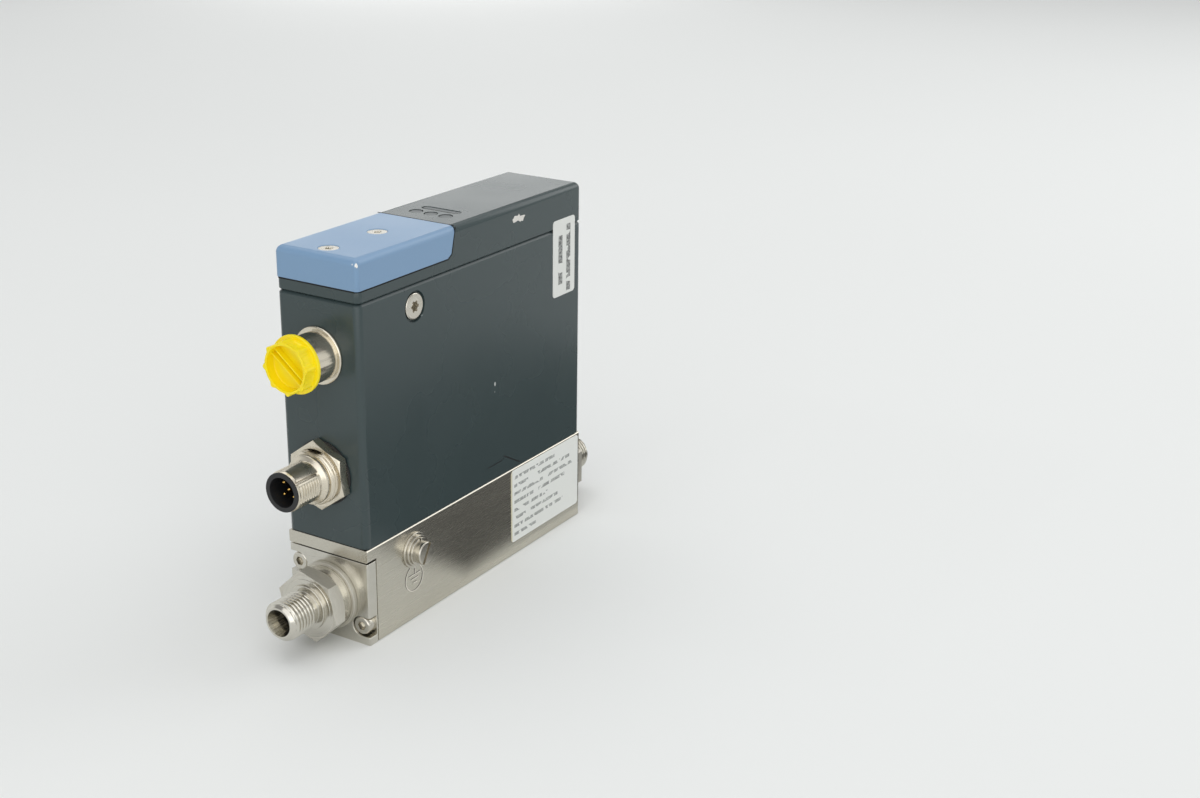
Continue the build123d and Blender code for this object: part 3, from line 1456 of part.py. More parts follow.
# =============================================================================================
# Export
# =============================================================================================
pieces = {
    "base_block": base_block,
    "inlet_plate": inlet_plate,
    "plate_screws": plate_screws,
    "plate_oring": plate_oring,
    "inlet_fitting": inlet_fitting,
    "outlet_fitting": outlet_fitting,
    "fitting_washers": fitting_washers,
    "inlet_filter": inlet_filter,
    "flow_straightener": flow_straightener,
    "sensor_probe": sensor_probe,
    "sensor_oring": sensor_oring,
    "sensor_screws": sensor_screws,
    "sensor_board": sensor_board,
    "valve_seat": valve_seat,
    "valve_plunger": valve_plunger,
    "plunger_seal": plunger_seal,
    "valve_guide_tube": valve_guide_tube,
    "valve_oring": valve_oring,
    "valve_stop_core": valve_stop_core,
    "valve_spring": valve_spring,
    "valve_coil": valve_coil,
    "valve_yoke": valve_yoke,
    "valve_nut": valve_nut,
    "coil_terminals": coil_terminals,
    "board_bracket": board_bracket,
    "bracket_screws": bracket_screws,
    "main_board": main_board,
    "board_standoffs": board_standoffs,
    "board_screws": board_screws,
    "board_chips": board_chips,
    "board_capacitors": board_capacitors,
    "connector_board": connector_board,
    "board_header": board_header,
    "sensor_header": sensor_header,
    "housing_gasket": housing_gasket,
    "housing": housing,
    "base_screws": base_screws,
    "top_cover": top_cover,
    "service_cap": service_cap,
    "cap_screws": cap_screws,
    "side_screws": side_screws,
    "status_lenses": status_lenses,
    "power_lens": power_lens,
    "plug_shell": plug_shell,
    "plug_gasket": plug_gasket,
    "plug_nut": plug_nut,
    "plug_insert": plug_insert,
    "plug_pins": plug_pins,
    "socket_shell": socket_shell,
    "socket_nut": socket_nut,
    "socket_insert": socket_insert,
    "socket_contacts": socket_contacts,
    "dust_cap": dust_cap,
    "earth_washer": earth_washer,
    "earth_clamp_washer": earth_clamp_washer,
    "earth_lock_washer": earth_lock_washer,
    "earth_screw": earth_screw,
    "type_label": type_label,
    "seal_label": seal_label,
}

os.makedirs("parts", exist_ok=True)
for name, piece in pieces.items():
    piece.part.label = name
    export_step(piece.part, f"parts/{name}.step")
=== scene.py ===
"""Looks of a thermal mass flow controller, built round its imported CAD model.

The gas block, the valve and the electronics keep their CAD meshes and get real finishes. The
threaded and moulded parts that catch the eye (tube fittings, plug, dust cap) are rebuilt here
with their threads, ribs and rounded edges. All lengths are in millimetres in the row frame
until a mesh is made, which turns them into metres.
"""

import logging
import random
from collections.abc import Callable, Iterable, Sequence
from dataclasses import dataclass
from enum import Enum
from functools import reduce
from math import ceil, cos, hypot, pi, radians, sin, tan
from typing import ClassVar

import bpy
from mathutils import Matrix, Vector


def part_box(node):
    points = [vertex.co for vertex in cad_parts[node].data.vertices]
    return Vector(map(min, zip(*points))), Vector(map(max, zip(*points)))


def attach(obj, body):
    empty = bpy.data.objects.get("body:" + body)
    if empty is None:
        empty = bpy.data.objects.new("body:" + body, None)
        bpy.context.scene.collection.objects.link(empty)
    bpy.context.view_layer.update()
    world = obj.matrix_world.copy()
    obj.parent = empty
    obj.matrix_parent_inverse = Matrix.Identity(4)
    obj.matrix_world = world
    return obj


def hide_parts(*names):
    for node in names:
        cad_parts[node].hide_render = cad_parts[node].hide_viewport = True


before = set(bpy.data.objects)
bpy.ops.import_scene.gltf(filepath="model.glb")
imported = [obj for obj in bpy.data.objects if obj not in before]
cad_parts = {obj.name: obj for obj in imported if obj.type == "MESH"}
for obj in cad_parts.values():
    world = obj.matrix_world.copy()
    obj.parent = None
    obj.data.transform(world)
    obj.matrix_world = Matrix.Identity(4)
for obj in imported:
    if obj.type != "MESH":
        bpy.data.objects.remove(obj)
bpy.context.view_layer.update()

log = logging.getLogger("mass_flow_controller")

MM = 0.001  # metres in a millimetre
BODY = "controller"
FRONT_X, REAR_X = (corner.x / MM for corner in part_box("housing"))
SIDE_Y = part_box("housing")[0].y / MM
ARC_STEPS = 4  # facets on a small rounded edge
FULL_TURN = 2 * pi
METAL = {"Metallic": 1.0}

Point = tuple[float, float]
Corner = tuple[float, float, float]
Section = Callable[[float], list[Corner]]
Tree = bpy.types.NodeTree
Port = bpy.types.NodeSocket
Piece = bpy.types.Object


# ---- Colour and node helpers ----
def linear(code: str) -> tuple[float, float, float, float]:
    """Turns an sRGB hex colour such as "#38434A" into the linear colour that a shader takes."""
    values = [int(code[start : start + 2], 16) / 255 for start in (1, 3, 5)]
    red, green, blue = (v / 12.92 if v <= 0.04045 else ((v + 0.055) / 1.055) ** 2.4 for v in values)
    return red, green, blue, 1.0


def add_node(tree: Tree, kind: str, settings: dict[str | int, object] | None = None) -> bpy.types.Node:
    """Adds one shader node.

    Args:
        tree: Node tree that gets the node.
        kind: Blender's name of the node type, after "ShaderNode".
        settings: Property names, or input names or numbers, each with its value or with the
            socket that feeds it. Properties that change the inputs come first.

    Returns:
        The new node.
    """
    node = tree.nodes.new("ShaderNode" + kind)
    for key, value in (settings or {}).items():
        if isinstance(value, Port):
            tree.links.new(value, node.inputs[key])
        elif isinstance(key, int) or key in node.inputs:
            node.inputs[key].default_value = value
        else:
            setattr(node, key, value)
    return node


def maths(tree: Tree, operation: str, *terms: Port | float) -> Port:
    """Adds one step of arithmetic on numbers, each a socket or a plain number."""
    return add_node(tree, "Math", {"operation": operation, **dict(enumerate(terms))}).outputs[0]


def vectors(tree: Tree, operation: str, *terms: Port | Corner) -> Port:
    """Adds one step of arithmetic on vectors, each a socket or a plain vector."""
    return add_node(tree, "VectorMath", {"operation": operation, **dict(enumerate(terms))}).outputs[0]


def place(tree: Tree) -> Port:
    """Object coordinates, in metres."""
    return add_node(tree, "TexCoord").outputs["Object"]


def split(tree: Tree, vector: Port) -> Sequence[Port]:
    """The three numbers of a vector."""
    return add_node(tree, "SeparateXYZ", {0: vector}).outputs


def spaced(tree: Tree, cell: float | Corner) -> Port:
    """Object coordinates counted in pattern cells.

    Args:
        tree: Node tree that gets the nodes.
        cell: Length of one cell in millimetres, one for all axes or one for each.

    Returns:
        Vector socket that grows by one for each cell.
    """
    lengths = cell if isinstance(cell, tuple) else (cell,) * 3
    scale = tuple(1 / (length * MM) for length in lengths)
    return add_node(tree, "Mapping", {"Scale": scale, "Vector": place(tree)}).outputs[0]


def noise(
    tree: Tree,
    cell: float | Corner | Port,
    detail: float,
    roughness: float = 0.5,
    scale: float = 1.0,
    distortion: float = 0.0,
) -> Port:
    """Adds a cloudy pattern.

    Args:
        tree: Node tree that gets the nodes.
        cell: Size of its clouds in millimetres, or coordinates counted in clouds.
        detail: Number of finer layers.
        roughness: Weight of each finer layer.
        scale: Clouds in one cell.
        distortion: How far the clouds are stirred.

    Returns:
        Socket with values round a half.
    """
    vector = cell if isinstance(cell, Port) else spaced(tree, cell)
    settings = {"Scale": scale, "Detail": detail, "Roughness": roughness, "Distortion": distortion}
    return add_node(tree, "TexNoise", {**settings, "Vector": vector}).outputs[0]


def ranged(
    tree: Tree,
    value: Port,
    start: float,
    end: float,
    low: float = 0.0,
    high: float = 1.0,
    shape: str = "LINEAR",
) -> Port:
    """Maps a value from start..end to low..high and stops at both ends."""
    limits = {"From Min": start, "From Max": end, "To Min": low, "To Max": high}
    return add_node(tree, "MapRange", {"interpolation_type": shape, **limits, "Value": value}).outputs[0]


def either(tree: Tree, share: Port, first: Port | float, second: Port | float) -> Port:
    """Mixes two numbers; a share of 1 gives the second."""
    return add_node(tree, "Mix", {"data_type": "FLOAT", 0: share, 2: first, 3: second}).outputs[0]


def blend(tree: Tree, share: Port, first: Port | str, second: Port | str | tuple[float, ...]) -> Port:
    """Mixes two colours, each a socket or a hex code; a share of 1 gives the second."""
    ends = [linear(end) if isinstance(end, str) else end for end in (first, second)]
    return add_node(tree, "Mix", {"data_type": "RGBA", 0: share, 6: ends[0], 7: ends[1]}).outputs[2]


def surface(
    tree: Tree,
    colour: Port,
    rough: Port | float,
    relief: tuple[Port, float, float] | None = None,
    settings: dict[str, object] | None = None,
) -> Port:
    """Adds the surface shader.

    Args:
        tree: Node tree that gets the nodes.
        colour: Colour of the finish.
        rough: Roughness of the finish.
        relief: Height, strength and depth in millimetres of its fine relief.
        settings: More of the shader's inputs.

    Returns:
        The shader's socket.
    """
    inputs = {"Base Color": colour, "Roughness": rough, **(settings or {})}
    if relief is not None:
        height, strength, depth = relief
        bump = add_node(tree, "Bump", {"Strength": strength, "Distance": depth * MM, "Height": height})
        inputs["Normal"] = bump.outputs[0]
    return add_node(tree, "BsdfPrincipled", inputs).outputs[0]


def turned_coordinates(tree: Tree, axis_z: float, spacing: float, around: float) -> Port:
    """Coordinates for tool marks on a part turned about a line along X.

    Args:
        tree: Node tree that gets the nodes.
        axis_z: Height of the turning axis in millimetres.
        spacing: Width of one tool mark in millimetres.
        around: Weight of the direction round the axis; 0 keeps every mark a closed ring.

    Returns:
        Vector socket: along the axis, away from the axis, and a little of the way round.
    """
    parts = split(tree, place(tree))
    rise = maths(tree, "SUBTRACT", parts[2], axis_z * MM)
    squares = [maths(tree, "POWER", side, 2.0) for side in (parts[1], rise)]
    radius = maths(tree, "SQRT", maths(tree, "ADD", *squares))
    ring = maths(tree, "MULTIPLY", maths(tree, "ARCTAN2", rise, parts[1]), around * MM * spacing)
    joined = add_node(tree, "CombineXYZ", {0: parts[0], 1: radius, 2: ring}).outputs[0]
    return vectors(tree, "MULTIPLY", joined, (1 / (spacing * MM),) * 3)


# ---- Finishes ----
class Grain(Enum):
    """Direction of the fine lines that machining leaves on a metal face."""

    ALONG_FLOW = (16.0, 0.22, 0.22)
    CLOUDED = (2.6, 2.6, 2.6)


@dataclass(frozen=True)
class Mark:
    """Small spot where a finish is chipped, scuffed or dusty."""

    place: Corner
    radius: float
    stretch: Corner = (1.0, 1.0, 1.0)
    colour: str = "#E4E2DC"


@dataclass(frozen=True)
class Finish:
    """What every finish shares: a name, two tones and nodes that end in one surface shader."""

    title: str
    light: str = "#D8D8D6"
    dark: str = "#B4B4B2"

    def shade(self, tree: Tree) -> Port:
        """Builds the finish's nodes and returns the shader's output socket."""
        raise NotImplementedError

    def tones(self, tree: Tree, share: Port) -> Port:
        """Colour between the dark and the light tone."""
        return blend(tree, share, self.dark, self.light)

    def material(self) -> bpy.types.Material:
        """Makes the finish's material on first use and returns it."""
        found = bpy.data.materials.get(self.title)
        if found is not None:
            return found
        material = bpy.data.materials.new(self.title)
        material.use_nodes = True
        tree = material.node_tree
        tree.nodes.clear()
        add_node(tree, "OutputMaterial", {"Surface": self.shade(tree)})
        return material


@dataclass(frozen=True)
class GroundStainless(Finish):
    """Stainless bar, milled and then ground on a belt.

    Fine straight lines in one direction, low in contrast, blur what the face mirrors. The metal
    is a slightly warm grey with a faint cloud where the belt pressed harder.
    """

    light: str = "#CFCBBF"
    dark: str = "#C6C2B6"
    grain: Grain = Grain.ALONG_FLOW
    roughness: Point = (0.22, 0.3)
    cloud: float = 22.0

    def shade(self, tree: Tree) -> Port:
        """Builds the lines, the cloud and the metal shader."""
        lines = noise(tree, self.grain.value, 4.0, roughness=0.65)
        cloud = noise(tree, self.cloud, 2.0)
        share = ranged(tree, maths(tree, "MULTIPLY_ADD", cloud, 0.5, lines), 0.5, 1.0)
        rough = ranged(tree, lines, 0.3, 0.7, *self.roughness)
        return surface(tree, self.tones(tree, share), rough, (lines, 0.3, 0.003), METAL)


@dataclass(frozen=True)
class TurnedStainless(Finish):
    """Stainless bar turned on a lathe about a line along X.

    Closed rings from the tool, a tenth of a millimetre apart on the real part and drawn twice as
    coarse so that they show, give bright metal with fine circular glints on its faces. The cone
    in its mouth shows the reamer's lengthwise streaks, and the hexagon the mill's duller skin.
    """

    light: str = "#DEDBD2"
    dark: str = "#C3BFB4"
    axis_z: float = 0.0
    roughness: Point = (0.12, 0.24)
    spacing: float = 0.2
    reamed_radius: float = 4.06
    milled_radius: float = 9.42
    milled_roughness: float = 0.55

    def shade(self, tree: Tree) -> Port:
        """Builds the rings, the lengthwise marks of the reamed cone and the metal shader."""
        around = turned_coordinates(tree, self.axis_z, self.spacing, 0.6)
        rings = noise(tree, around, 3.0, roughness=0.6)
        streaks = noise(tree, vectors(tree, "MULTIPLY", around, (0.0, 0.0, 9.0)), 2.0)
        radius = split(tree, around)[1]
        reamed = maths(tree, "LESS_THAN", radius, self.reamed_radius / self.spacing)
        marks = either(tree, reamed, rings, ranged(tree, streaks, 0.4, 0.6))
        milled = maths(tree, "GREATER_THAN", radius, self.milled_radius / self.spacing)
        turned = ranged(tree, marks, 0.3, 0.7, *self.roughness)
        rough = either(tree, milled, turned, self.milled_roughness)
        return surface(tree, self.tones(tree, marks), rough, (marks, 0.3, 0.005), METAL)


@dataclass(frozen=True)
class NickelPlate(Finish):
    """Brass with an electroplated nickel layer.

    Warmer than steel and nearly mirror bright, with a faint uneven bloom where the plating is
    handled and a softer sheen on rougher castings.
    """

    light: str = "#E2DBCB"
    dark: str = "#D3CAB8"
    roughness: Point = (0.1, 0.16)
    relief: float = 0.002

    def shade(self, tree: Tree) -> Port:
        """Builds the bloom, the pits and the metal shader."""
        bloom = noise(tree, 4.0, 4.0, roughness=0.55)
        pits = noise(tree, 0.25, 2.0)
        rough = ranged(tree, bloom, 0.3, 0.7, *self.roughness)
        return surface(tree, self.tones(tree, bloom), rough, (pits, 0.1, self.relief), METAL)


@dataclass(frozen=True)
class PlainMetal(Finish):
    """Plated or cold-drawn metal of a small inner part: gold flash, tinned copper, zinc or aluminium.

    One even colour of metal, broken by the drawing lines and faint tarnish that keep it from
    looking like foil.
    """

    roughness: Point = (0.22, 0.36)
    cell: float = 1.2

    def shade(self, tree: Tree) -> Port:
        """Builds the tarnish and the metal shader."""
        tarnish = noise(tree, self.cell, 3.0)
        rough = ranged(tree, tarnish, 0.3, 0.7, *self.roughness)
        return surface(tree, self.tones(tree, tarnish), rough, settings=METAL)


@dataclass(frozen=True)
class PowderCoat(Finish):
    """Polyester powder baked on cast aluminium.

    The powder flows into a fine orange peel of about 0.6 mm that softens every reflection to a
    satin. Small chips show the pale primer, and a few grains of dust stay on the skin.
    """

    light: str = "#394748"
    dark: str = "#344143"
    roughness: Point = (0.24, 0.3)
    peel: float = 0.6
    cloud: float = 28.0
    marks: tuple[Mark, ...] = ()

    def shade(self, tree: Tree) -> Port:
        """Builds the orange peel, the marks and the paint shader."""
        peel = noise(tree, self.peel, 2.0)
        cloud = noise(tree, self.cloud, 3.0)
        share = maths(tree, "MULTIPLY_ADD", cloud, 0.65, maths(tree, "MULTIPLY", peel, 0.35))
        colour = self.tones(tree, share)
        for mark in self.marks:
            colour = self.marked(tree, colour, mark)
        rough = ranged(tree, cloud, 0.3, 0.7, *self.roughness)
        return surface(tree, colour, rough, (peel, 0.3, 0.01), {"IOR": 1.5})

    def marked(self, tree: Tree, colour: Port, mark: Mark) -> Port:
        """Lays one ragged mark over the paint's colour so far and returns the new colour."""
        centre = tuple(length * MM for length in mark.place)
        scale = tuple(1 / (mark.radius * MM * share) for share in mark.stretch)
        offset = vectors(tree, "MULTIPLY", vectors(tree, "SUBTRACT", place(tree), centre), scale)
        distance = add_node(tree, "VectorMath", {"operation": "LENGTH", 0: offset}).outputs[1]
        edge = maths(tree, "MULTIPLY_ADD", noise(tree, offset, 3.0, scale=1.3), 1.4, distance)
        return blend(tree, ranged(tree, edge, 1.6, 1.75, 1.0, 0.0), colour, mark.colour)


@dataclass(frozen=True)
class Polyethylene(Finish):
    """Soft polyethylene, moulded in one shot.

    Light enters the plastic a little and comes back more orange from its thick and shaded parts;
    the skin is waxy, with faint flow clouds.
    """

    light: str = "#FFEB0A"
    dark: str = "#FBDF04"
    roughness: float = 0.36

    def shade(self, tree: Tree) -> Port:
        """Builds the flow clouds and the plastic shader."""
        flow = noise(tree, (5.0, 3.0, 3.0), 2.0, distortion=0.6)
        skin = noise(tree, 0.4, 1.0)
        depth = {
            "IOR": 1.51,
            "Subsurface Weight": 0.12,
            "Subsurface Radius": (1.0, 0.6, 0.1),
            "Subsurface Scale": 0.8 * MM,
        }
        return surface(tree, self.tones(tree, flow), self.roughness, (skin, 0.2, 0.01), depth)


@dataclass(frozen=True)
class MouldedPlastic(Finish):
    """Injection-moulded plastic or cast resin: nylon, epoxy, smoked acrylic.

    An even body colour with the faint mottling of filler and a fine spark-eroded skin, from
    matt nylon to glossy acrylic.
    """

    light: str = "#232425"
    dark: str = "#161718"
    roughness: float = 0.42
    cell: float = 0.5
    relief: float = 0.008
    shine: float = 0.5

    def shade(self, tree: Tree) -> Port:
        """Builds the mottling, the skin and the plastic shader."""
        skin = noise(tree, self.cell, 3.0)
        gloss = {"IOR": 1.5, "Specular IOR Level": self.shine}
        return surface(tree, self.tones(tree, skin), self.roughness, (skin, 0.3, self.relief), gloss)


@dataclass(frozen=True)
class SealRubber(Finish):
    """Moulded nitrile or fluoro rubber, dusted with talc.

    Nearly black and matt, with a soft pale bloom that lifts the grey of its faces.
    """

    light: str = "#2A2A2B"
    dark: str = "#181819"

    def shade(self, tree: Tree) -> Port:
        """Builds the bloom and the rubber shader."""
        talc = {"IOR": 1.52, "Sheen Weight": 0.08, "Sheen Roughness": 0.5}
        return surface(tree, self.tones(tree, noise(tree, 1.5, 4.0)), 0.68, settings=talc)


@dataclass(frozen=True)
class SolderMask(Finish):
    """Glass-epoxy board under green solder mask.

    The glass weave of about 0.9 mm shows as a faint check through the glossy green film.
    """

    light: str = "#1F6B45"
    dark: str = "#15512F"

    def shade(self, tree: Tree) -> Port:
        """Builds the weave and the board shader."""
        weave = add_node(tree, "TexChecker", {"Scale": 1.0, "Vector": spaced(tree, 0.9)}).outputs[1]
        rows = {"Scale": 1.0, "Mortar Size": 0.06, "Brick Width": 6.0, "Row Height": 1.3}
        tracks = add_node(tree, "TexBrick", {**rows, "Vector": spaced(tree, 1.0)}).outputs[1]
        share = maths(tree, "MULTIPLY_ADD", weave, 0.25, tracks)
        return surface(tree, self.tones(tree, share), 0.3, settings={"IOR": 1.5})


@dataclass(frozen=True)
class LabelFilm(Finish):
    """White polyester film with blank grey bars in place of print.

    A smooth semi-gloss sheet that is a touch warmer at one cut edge, where the adhesive has
    yellowed. The bars stand in rows the size of small type and say nothing.
    """

    light: str = "#EDEFEB"
    dark: str = "#8F9290"
    low: Point = (0.0, 0.0)
    high: Point = (1.0, 1.0)
    rows_run_up: bool = False
    rows: tuple[Corner, ...] = ()
    bar: float = 1.1
    word: float = 1.7
    gap: float = 0.42
    warm_edge: str = "#D9CFA6"

    def shade(self, tree: Tree) -> Port:
        """Builds the sheet, its bars and the film shader."""
        parts = split(tree, place(tree))
        along, across = (2, 0) if self.rows_run_up else (0, 2)
        low, high = ((x * MM, 0.0, z * MM) for x, z in (self.low, self.high))
        inked = add_node(tree, "Value").outputs[0]
        for down, start, end in self.rows:
            tests = (
                maths(tree, "GREATER_THAN", parts[across], high[across] - (down + self.bar) * MM),
                maths(tree, "LESS_THAN", parts[across], high[across] - down * MM),
                maths(tree, "GREATER_THAN", parts[along], low[along] + start * MM),
                maths(tree, "LESS_THAN", parts[along], low[along] + end * MM),
            )
            row = reduce(lambda one, other: maths(tree, "MULTIPLY", one, other), tests)
            inked = maths(tree, "MAXIMUM", inked, row)
        cell = [self.bar * 1.9] * 3
        cell[along] = self.word
        words = maths(tree, "GREATER_THAN", noise(tree, tuple(cell), 0.0), self.gap)
        strength = maths(tree, "MULTIPLY", maths(tree, "MULTIPLY", inked, words), noise(tree, 0.7, 3.0))
        doubled = maths(tree, "MINIMUM", maths(tree, "MULTIPLY", strength, 1.5), 1.0)
        fade = ranged(tree, parts[0], low[0], low[0] + 0.9 * MM, 0.7, 0.0)
        paper = blend(tree, fade, self.light, self.warm_edge)
        return surface(tree, blend(tree, doubled, paper, self.dark), 0.38, settings={"IOR": 1.5})


@dataclass(frozen=True)
class StudioBoard(Finish):
    """Matt painted board that the object stands on: pale, with a barely visible unevenness."""

    light: str = "#EEF0EF"
    dark: str = "#EBEDEC"

    def shade(self, tree: Tree) -> Port:
        """Builds the board's shader."""
        wash = self.tones(tree, noise(tree, 400.0, 1.0))
        return surface(tree, wash, 0.9, settings={"Specular IOR Level": 0.1})


@dataclass(frozen=True)
class FlagCloth(Finish):
    """Black flannel on a frame: dull and dark, thinner towards its hem."""

    light: str = "#282827"
    dark: str = "#1C1C1B"
    low: Point = (0.0, 0.0)
    high: Point = (1.0, 1.0)
    hem: float = 0.1
    cover: float = 0.85

    def shade(self, tree: Tree) -> Port:
        """Builds the nap and the soft hem."""
        pairs = tuple(zip(self.low, self.high))
        centre = (*((end + start) / 2 * MM for start, end in pairs), 0.0)
        scale = (*(2 / ((end - start) * MM) for start, end in pairs), 0.0)
        share = vectors(tree, "MULTIPLY", vectors(tree, "SUBTRACT", place(tree), centre), scale)
        sides = split(tree, vectors(tree, "ABSOLUTE", share))
        reach = maths(tree, "MAXIMUM", sides[0], sides[1])
        solid = ranged(tree, reach, 1 - self.hem, 1.0, self.cover, 0.0)
        cloth = add_node(tree, "BsdfDiffuse", {"Color": self.tones(tree, noise(tree, 3.0, 2.0))})
        clear = add_node(tree, "BsdfTransparent")
        layers = {0: solid, 1: clear.outputs[0], 2: cloth.outputs[0]}
        return add_node(tree, "MixShader", layers).outputs[0]


GROUND_BLOCK = GroundStainless("ground_stainless_block")
GROUND_PLATE = GroundStainless("ground_stainless_plate", "#D2CFC6", "#C9C6BC", Grain.CLOUDED, (0.2, 0.24))
SCREW_STEEL = GroundStainless("cold_headed_screw_steel", "#D9D5CB", "#B7B2A6", Grain.CLOUDED, (0.16, 0.28))
FITTING_STEEL = TurnedStainless("turned_stainless_fitting", axis_z=13.0)
VALVE_STEEL = PlainMetal("ferritic_valve_steel", "#C4C2BC", "#A5A39D")
ZINC_PLATE = PlainMetal("zinc_plated_yoke", "#C9CDD0", "#A3A8AC", (0.3, 0.45))
SPRING_STEEL = PlainMetal("spring_wire", "#BDBBB6", "#8F8D88", (0.2, 0.3), 0.6)
NICKEL = NickelPlate("nickel_plated_brass")
SPUN_NICKEL = NickelPlate("nickel_plated_brass_spun", roughness=(0.17, 0.22))
SOFT_NICKEL = NickelPlate("nickel_plated_brass_satin", roughness=(0.24, 0.32), relief=0.0005)
GOLD = PlainMetal("gold_flash", "#F0C877", "#D9A950", (0.14, 0.24), 0.8)
TINNED = PlainMetal("tinned_copper", "#CFCDC8", "#AAA8A2", cell=0.7)
CAN = PlainMetal("aluminium_can", "#D5D7D8", "#BCBEC0", cell=2.0)
RUBBER = SealRubber("seal_rubber")
BLACK_NYLON = MouldedPlastic("glass_filled_nylon", "#1A1B1D", "#111214")
BLACK_EPOXY = MouldedPlastic("black_epoxy", "#202122", "#141516", 0.5, 0.3)
SMOKED_ACRYLIC = MouldedPlastic("smoked_acrylic", "#4A5254", "#434A4C", 0.3, 6.0, 0.002, 0.2)
YELLOW = Polyethylene("yellow_polyethylene")
BOARD = SolderMask("solder_mask")
PAINT = PowderCoat(
    "anthracite_powder_coat",
    marks=(
        Mark((7.4, SIDE_Y, 61.4), 0.55, (0.8, 1.0, 1.2), "#B9BDBB"),
        Mark((7.2, SIDE_Y, 58.9), 0.25, colour="#7C8484"),
        Mark((-28.5, SIDE_Y, 92.7), 0.4, (1.8, 1.0, 0.5), "#828B8C"),
    ),
)
BLUE_PAINT = PowderCoat(
    "light_blue_powder_coat",
    "#7F9FC0",
    "#799ABB",
    (0.3, 0.37),
    marks=(
        Mark((FRONT_X + 0.4, SIDE_Y + 0.4, 113.6), 0.5, (0.9, 0.9, 1.3), "#F2F1EC"),
        Mark((FRONT_X + 0.2, SIDE_Y + 1.5, 113.7), 0.25, (0.8, 1.0, 1.0), "#DDE3E8"),
    ),
)
# Painted shadow of an engraved groove's upper wall.
ENGRAVING_SHADE = MouldedPlastic("painted_engraving_shade", "#3B3933", "#2C2A26", 0.5, relief=0.002)
# Rougher cut metal of an engraved groove, lightened further as a painted highlight of its lit flank.
CUT_STEEL_HIGHLIGHT = MouldedPlastic("cut_steel_painted_highlight", "#E9E5DA", "#D6D1C4", 0.4, relief=0.002)
# Near-black finish of painted shade, for strips laid into open joints and round sunk windows where shade
# falls.
JOINT_SHADE = MouldedPlastic("painted_joint_shade", "#131516", "#0C0E0F", 0.9, relief=0.002)
# Painted shade: flat near-black strokes that stand for the shadow in engraved grooves.
GROOVE_SHADE = MouldedPlastic("painted_groove_shade", "#15191B", "#101416", 0.6, relief=0.002)
TORN_PAPER = MouldedPlastic("torn_paper", "#EFEDE8", "#CFCCC6", 0.8, 0.8, 0.05)


# ---- Mesh helpers ----
def make_object(
    name: str, points: Sequence[Sequence[float]], faces: Sequence[Sequence[int]], sharp: float = 38.0
) -> Piece:
    """Makes a mesh object, smooth except at sharp edges.

    Args:
        name: Piece name.
        points: Corners in the row frame, in millimetres.
        faces: Corner numbers of each face.
        sharp: Angle in degrees above which an edge stays sharp.

    Returns:
        The new object, linked to the scene.
    """
    mesh = bpy.data.meshes.new(name)
    mesh.from_pydata([tuple(value * MM for value in point) for point in points], [], faces)
    mesh.validate()
    mesh.polygons.foreach_set("use_smooth", [True] * len(mesh.polygons))
    mesh.set_sharp_from_angle(angle=radians(sharp))
    mesh.update()
    made = bpy.data.objects.new(name, mesh)
    bpy.context.scene.collection.objects.link(made)
    return made


def finish_piece(piece: Piece, finish: Finish, slot: str, *nodes: str) -> None:
    """Gives a new piece its finish and the body it rides on.

    Args:
        piece: Object in its place in the row frame.
        finish: Finish that covers it.
        slot: Not used.
        nodes: CAD nodes that it stands for.
    """
    piece.data.materials.append(finish.material())
    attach(piece, BODY)
    if nodes:
        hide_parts(*nodes)
    log.info("%-24s %6d faces, %s", piece.name, len(piece.data.polygons), finish.title)


def rounded(points: Sequence[Corner], closed: bool) -> list[Point]:
    """Replaces the corners of a section by short arcs.

    Args:
        points: Corners as distance, radius and the reach of the rounding; 0 keeps a corner.
        closed: Whether the last corner joins the first.

    Returns:
        Points along the rounded section.
    """
    result: list[Point] = []
    count = len(points)
    for number, (x, y, reach) in enumerate(points):
        if reach <= 0 or (not closed and number in (0, count - 1)):
            result.append((x, y))
            continue
        ends = []
        for near_x, near_y, _ in (points[number - 1], points[(number + 1) % count]):
            length = hypot(near_x - x, near_y - y) or 1e-9
            cut = min(reach, 0.45 * length) / length
            ends.append((x + (near_x - x) * cut, y + (near_y - y) * cut))
        (start_x, start_y), (end_x, end_y) = ends
        for step in range(ARC_STEPS + 1):
            t = step / ARC_STEPS
            a, b, c = (1 - t) ** 2, 2 * t * (1 - t), t * t
            result.append((a * start_x + b * x + c * end_x, a * start_y + b * y + c * end_y))
    return result


def lathe(
    name: str, section: Section, axis_z: float, closed: bool = True, columns: int = 192, start: float = 0.0
) -> Piece:
    """Turns a section about a line along X; the section may change with the angle.

    Args:
        name: Piece name.
        section: Gives the corners (x, radius, rounding) for an angle, always as many.
        axis_z: Height of the turning axis.
        closed: Whether the section is a closed loop; an open one starts and ends on the axis.
        columns: Number of sections round the axis.
        start: Angle of the first section, in degrees from +Y towards +Z.

    Returns:
        The new object.
    """
    points: list[Corner] = []
    for column in range(columns):
        angle = radians(start) + FULL_TURN * column / columns
        outline = rounded(section(angle), closed)
        points.extend((x, r * cos(angle), axis_z + r * sin(angle)) for x, r in outline)
    rows = len(points) // columns
    faces = []
    for column in range(columns):
        here, there = column * rows, (column + 1) % columns * rows
        for row in range(rows if closed else rows - 1):
            after = (row + 1) % rows
            faces.append((here + row, here + after, there + after, there + row))
    made = make_object(name, points, faces)
    made.modifiers.new("weld", "WELD").merge_threshold = 0.001 * MM
    return made


def hexagon_reach(angle: float, flats: float, turn: float) -> float:
    """Distance from a hexagon's centre to its side, with a corner at turn degrees."""
    sixth = pi / 3
    return flats / 2 / cos((angle - radians(turn)) % sixth - sixth / 2)


